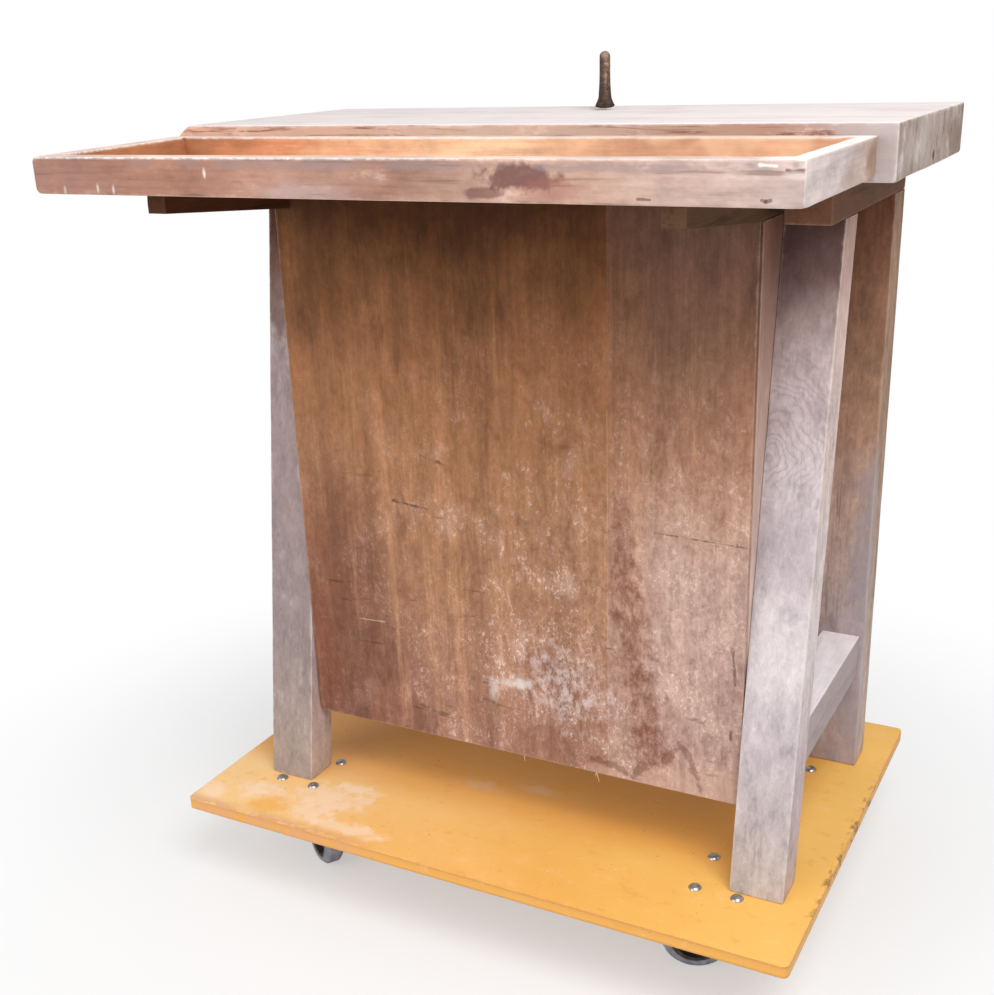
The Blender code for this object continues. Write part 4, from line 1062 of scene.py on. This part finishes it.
def build_tray():
    tray_corners = (
        ((tray_low[X], tray_low[Y]), (1.0, 1.0), TRAY_LEFT_RADIUS),
        ((tray_high[X], tray_low[Y]), (-1.0, 1.0), TRAY_RIGHT_RADIUS),
    )
    outer = {"corners": tray_corners, "hangs": True, "knock": TRAY_KNOCK}
    wood = tray_wood()
    worn("tray_front_rail", "tray_wood", wood, TRAY_WEAR, inner="back", **outer)
    worn("tray_back_rail", "tray_wood", wood, TRAY_BACK_WEAR, inner="front", hangs=True)
    worn("tray_left_end", "tray_wood", wood, TRAY_WEAR, inner="right", **outer)
    worn("tray_right_end", "tray_wood", wood, TRAY_WEAR, inner="left", eased=True, **outer)
    worn("tray_bottom", "tray_wood", tray_floor_wood(), TRAY_FLOOR_WEAR, hangs=True)


def build_bench():
    bearer_finish = bearer_wood()
    stretcher_finish = stretcher_wood()
    cheek_finish = cheek_wood()
    for side in SIDES:
        worn(f"tray_arm_{side}", "dark_wood", arm_wood(side), ARM_WEAR, hangs=True)
        worn(f"bearer_{side}", "leg_wood", bearer_finish, BEARER_WEAR)
        worn(f"leg_front_{side}", "leg_wood", front_leg_wood(side), LEG_WEAR, LEG_LEAN)
        worn(f"leg_rear_{side}", "leg_wood", rear_leg_wood(side), LEG_WEAR)
        worn(f"stretcher_{side}", "leg_wood", stretcher_finish, STRETCHER_WEAR)
        worn(f"panel_cheek_{side}", "plywood", cheek_finish, CHEEK_WEAR)
    worn("rear_rail", "leg_wood", rear_rail_wood(), RAIL_WEAR)
    worn("plywood_panel", "plywood", panel_wood(), PANEL_WEAR)
    worn("platform_board", "film_plywood", board_film(), BOARD_WEAR)
    build_splinters(splinter_wood())


# Metal pieces: the CAD solids, rounded

def modify(piece, kind, **settings):
    modifier = piece.modifiers.new(kind.lower(), kind)
    for name, value in settings.items():
        setattr(modifier, name, value)


def smooth(node, slot, material, edge, levels=0):
    piece = nodes[node]
    modify(piece, "WELD", merge_threshold=WELD)
    modify(piece, "DECIMATE", decimate_type="DISSOLVE", angle_limit=DISSOLVE_ANGLE)
    modify(piece, "BEVEL", width=edge, segments=BEVEL_STEPS, limit_method="ANGLE", angle_limit=BEVEL_ANGLE)
    if levels:
        modify(piece, "SUBSURF", levels=levels, render_levels=levels)
    piece.data.materials.clear()
    piece.data.materials.append(material)
    piece.data.shade_smooth()


# Round wheels, drawn from the profiles of the CAD wheels

def wheel_axis(mesh):
    """Middle of a tyre and the direction it turns about."""
    points = points_of(mesh.vertices)
    middle = (points.min(0) + points.max(0)) / 2
    spread = np.cov((points - middle).T)
    return middle, np.linalg.eigh(spread)[1][:, 0]


def wheel_profile(mesh, middle, axis):
    """Corners of a turned solid's section, in order, as radius and height."""
    offsets = points_of(mesh.vertices) - middle
    heights = offsets @ axis
    flat = offsets - heights[:, None] * axis
    radii = np.linalg.norm(flat, axis=1)
    chosen = flat @ (flat[0] / radii[0]) > radii * (1.0 - PROFILE_TOLERANCE)
    corners = [tuple(corner) for corner in np.round(np.c_[radii, heights], PROFILE_DIGITS).tolist()]
    beside = {}
    for edge in mesh.edges:
        first, second = edge.vertices
        if chosen[first] and chosen[second] and corners[first] != corners[second]:
            beside.setdefault(corners[first], set()).add(corners[second])
            beside.setdefault(corners[second], set()).add(corners[first])
    start = min(beside)
    order = [start]
    following = min(beside[start])
    while following != start:
        before = order[-1]
        order.append(following)
        following = next(corner for corner in sorted(beside[following]) if corner != before)
    return order


def softened(profile):
    """A profile with its corners rounded."""
    points = [Vector(corner) for corner in profile]
    soft = []
    for before, corner, after in zip(points[-1:] + points[:-1], points, points[1:] + points[:1]):
        back, ahead = before - corner, after - corner
        reach = min(WHEEL_EDGE, WHEEL_EDGE_SHARE * back.length, WHEEL_EDGE_SHARE * ahead.length)
        near, far = corner + back.normalized() * reach, corner + ahead.normalized() * reach
        soft += [near, (near + 2 * corner + far) / 4, far]
    return soft


def round_wheel(node, body, material, middle, axis):
    """A smooth piece for one faceted wheel node, turned inside its flats."""
    inside = math.cos(math.pi / CAD_WHEEL_SIDES)
    outward = np.cross(axis, UP) * inside
    work = bmesh.new()
    ring = []
    for radius, height in softened(wheel_profile(nodes[node].data, middle, axis)):
        ring.append(work.verts.new(middle + outward * radius + axis * height))
    edges = [work.edges.new(pair) for pair in zip(ring, ring[1:] + ring[:1])]
    bmesh.ops.spin(
        work, geom=ring + edges, cent=middle, axis=axis,
        angle=2 * math.pi, steps=WHEEL_SIDES, use_merge=True,
    )
    bmesh.ops.recalc_face_normals(work, faces=work.faces)
    piece = add_piece(f"{node}_round", work, material)
    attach(piece, body)
    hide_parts(node)


def build_metal():
    zinc = zinc_metal()
    rubber = tyre_rubber()
    plastic = hub_plastic()
    for corner in CORNERS:
        for part in ("plate", "fork"):
            smooth(f"caster_{corner}_{part}", "zinc", zinc, METAL_EDGE)
        for part in ("race", "kingpin", "axle"):
            smooth(f"caster_{corner}_{part}", "zinc", zinc, METAL_EDGE, ROUND_LEVELS)
        for screw in ("bearer_screw", "arm_screw"):
            smooth(f"{screw}_{corner}", "zinc", zinc, SCREW_EDGE)
        centre, spin = wheel_axis(nodes[f"caster_{corner}_tyre"].data)
        wheel = f"caster_{corner}_wheel"
        round_wheel(f"caster_{corner}_tyre", wheel, rubber, centre, spin)
        round_wheel(f"caster_{corner}_hub", wheel, plastic, centre, spin)
    smooth("holdfast", "iron", iron_metal(), IRON_EDGE, ROUND_LEVELS)


# Floor, light and camera

def camera_ray(tree):
    return tree.nodes.new("ShaderNodeLightPath").outputs["Is Camera Ray"]


def floor_paint():
    """Pale grey that takes the shadow near the bench and goes white further out."""
    look = Shader("floor", roughness=1.0, gloss=0.0)
    look.colour = (FLOOR_GREY, FLOOR_GREY, FLOOR_GREY, 1.0)
    fade = look.span(look.vector("LENGTH", look.place), FADE_START, FADE_END, NEAR_WHITE)
    share = look.times(fade, camera_ray(look.tree))
    white = look.node("Emission", {})[0]
    blend = look.node("MixShader", {0: share, 1: look.surface.outputs[0], 2: white})[0]
    look.put(look.tree.nodes["Material Output"].inputs["Surface"], blend)
    return look.done()


def build_floor():
    work = bmesh.new()
    bmesh.ops.create_grid(work, x_segments=1, y_segments=1, size=FLOOR_REACH)
    floor = add_piece("floor", work, floor_paint())
    floor.location.z = cad_low[Z] - FLOOR_DROP


def build_world():
    """White surroundings that the camera sees brighter than they light the bench."""
    world = bpy.data.worlds.new("studio")
    bpy.context.scene.world = world
    world.use_nodes = True
    tree = world.node_tree
    background = tree.nodes["Background"]
    background.inputs["Color"].default_value = (1.0, 1.0, 1.0, 1.0)
    level = tree.nodes.new("ShaderNodeMapRange")
    level.inputs["To Min"].default_value = WORLD_LIGHT
    level.inputs["To Max"].default_value = WORLD_WHITE
    tree.links.new(camera_ray(tree), level.inputs["Value"])
    tree.links.new(level.outputs[0], background.inputs["Strength"])


def soft_light(name, place, target, size, power):
    data = bpy.data.lights.new(name, "AREA")
    data.size = size
    data.energy = power
    light = add_object(name, data)
    light.location = place
    light.rotation_mode = "QUATERNION"
    light.rotation_quaternion = (Vector(target) - Vector(place)).to_track_quat("-Z", "Y")


def build_camera():
    turn = (
        Matrix.Rotation(math.radians(CAMERA_AZIMUTH), 4, "Z")
        @ Matrix.Rotation(math.radians(90.0 - CAMERA_ELEVATION), 4, "X")
        @ Matrix.Rotation(math.radians(CAMERA_ROLL), 4, "Z")
    )
    data = bpy.data.cameras.new("camera")
    data.lens = CAMERA_LENS
    data.sensor_width = CAMERA_SENSOR
    data.shift_y = CAMERA_SHIFT
    camera = add_object("camera", data)
    camera.matrix_world = Matrix.Translation(CAMERA_PLACE) @ turn
    bpy.context.scene.camera = camera


worn("top_slab", "plank_wood", slab_wood(), SLAB_WEAR)
build_tray()
build_bench()
build_metal()
build_floor()
build_world()
soft_light("key", *KEY_LIGHT)
soft_light("fill", *FILL_LIGHT)
build_camera()
bpy.context.scene.view_settings.view_transform = "Standard"
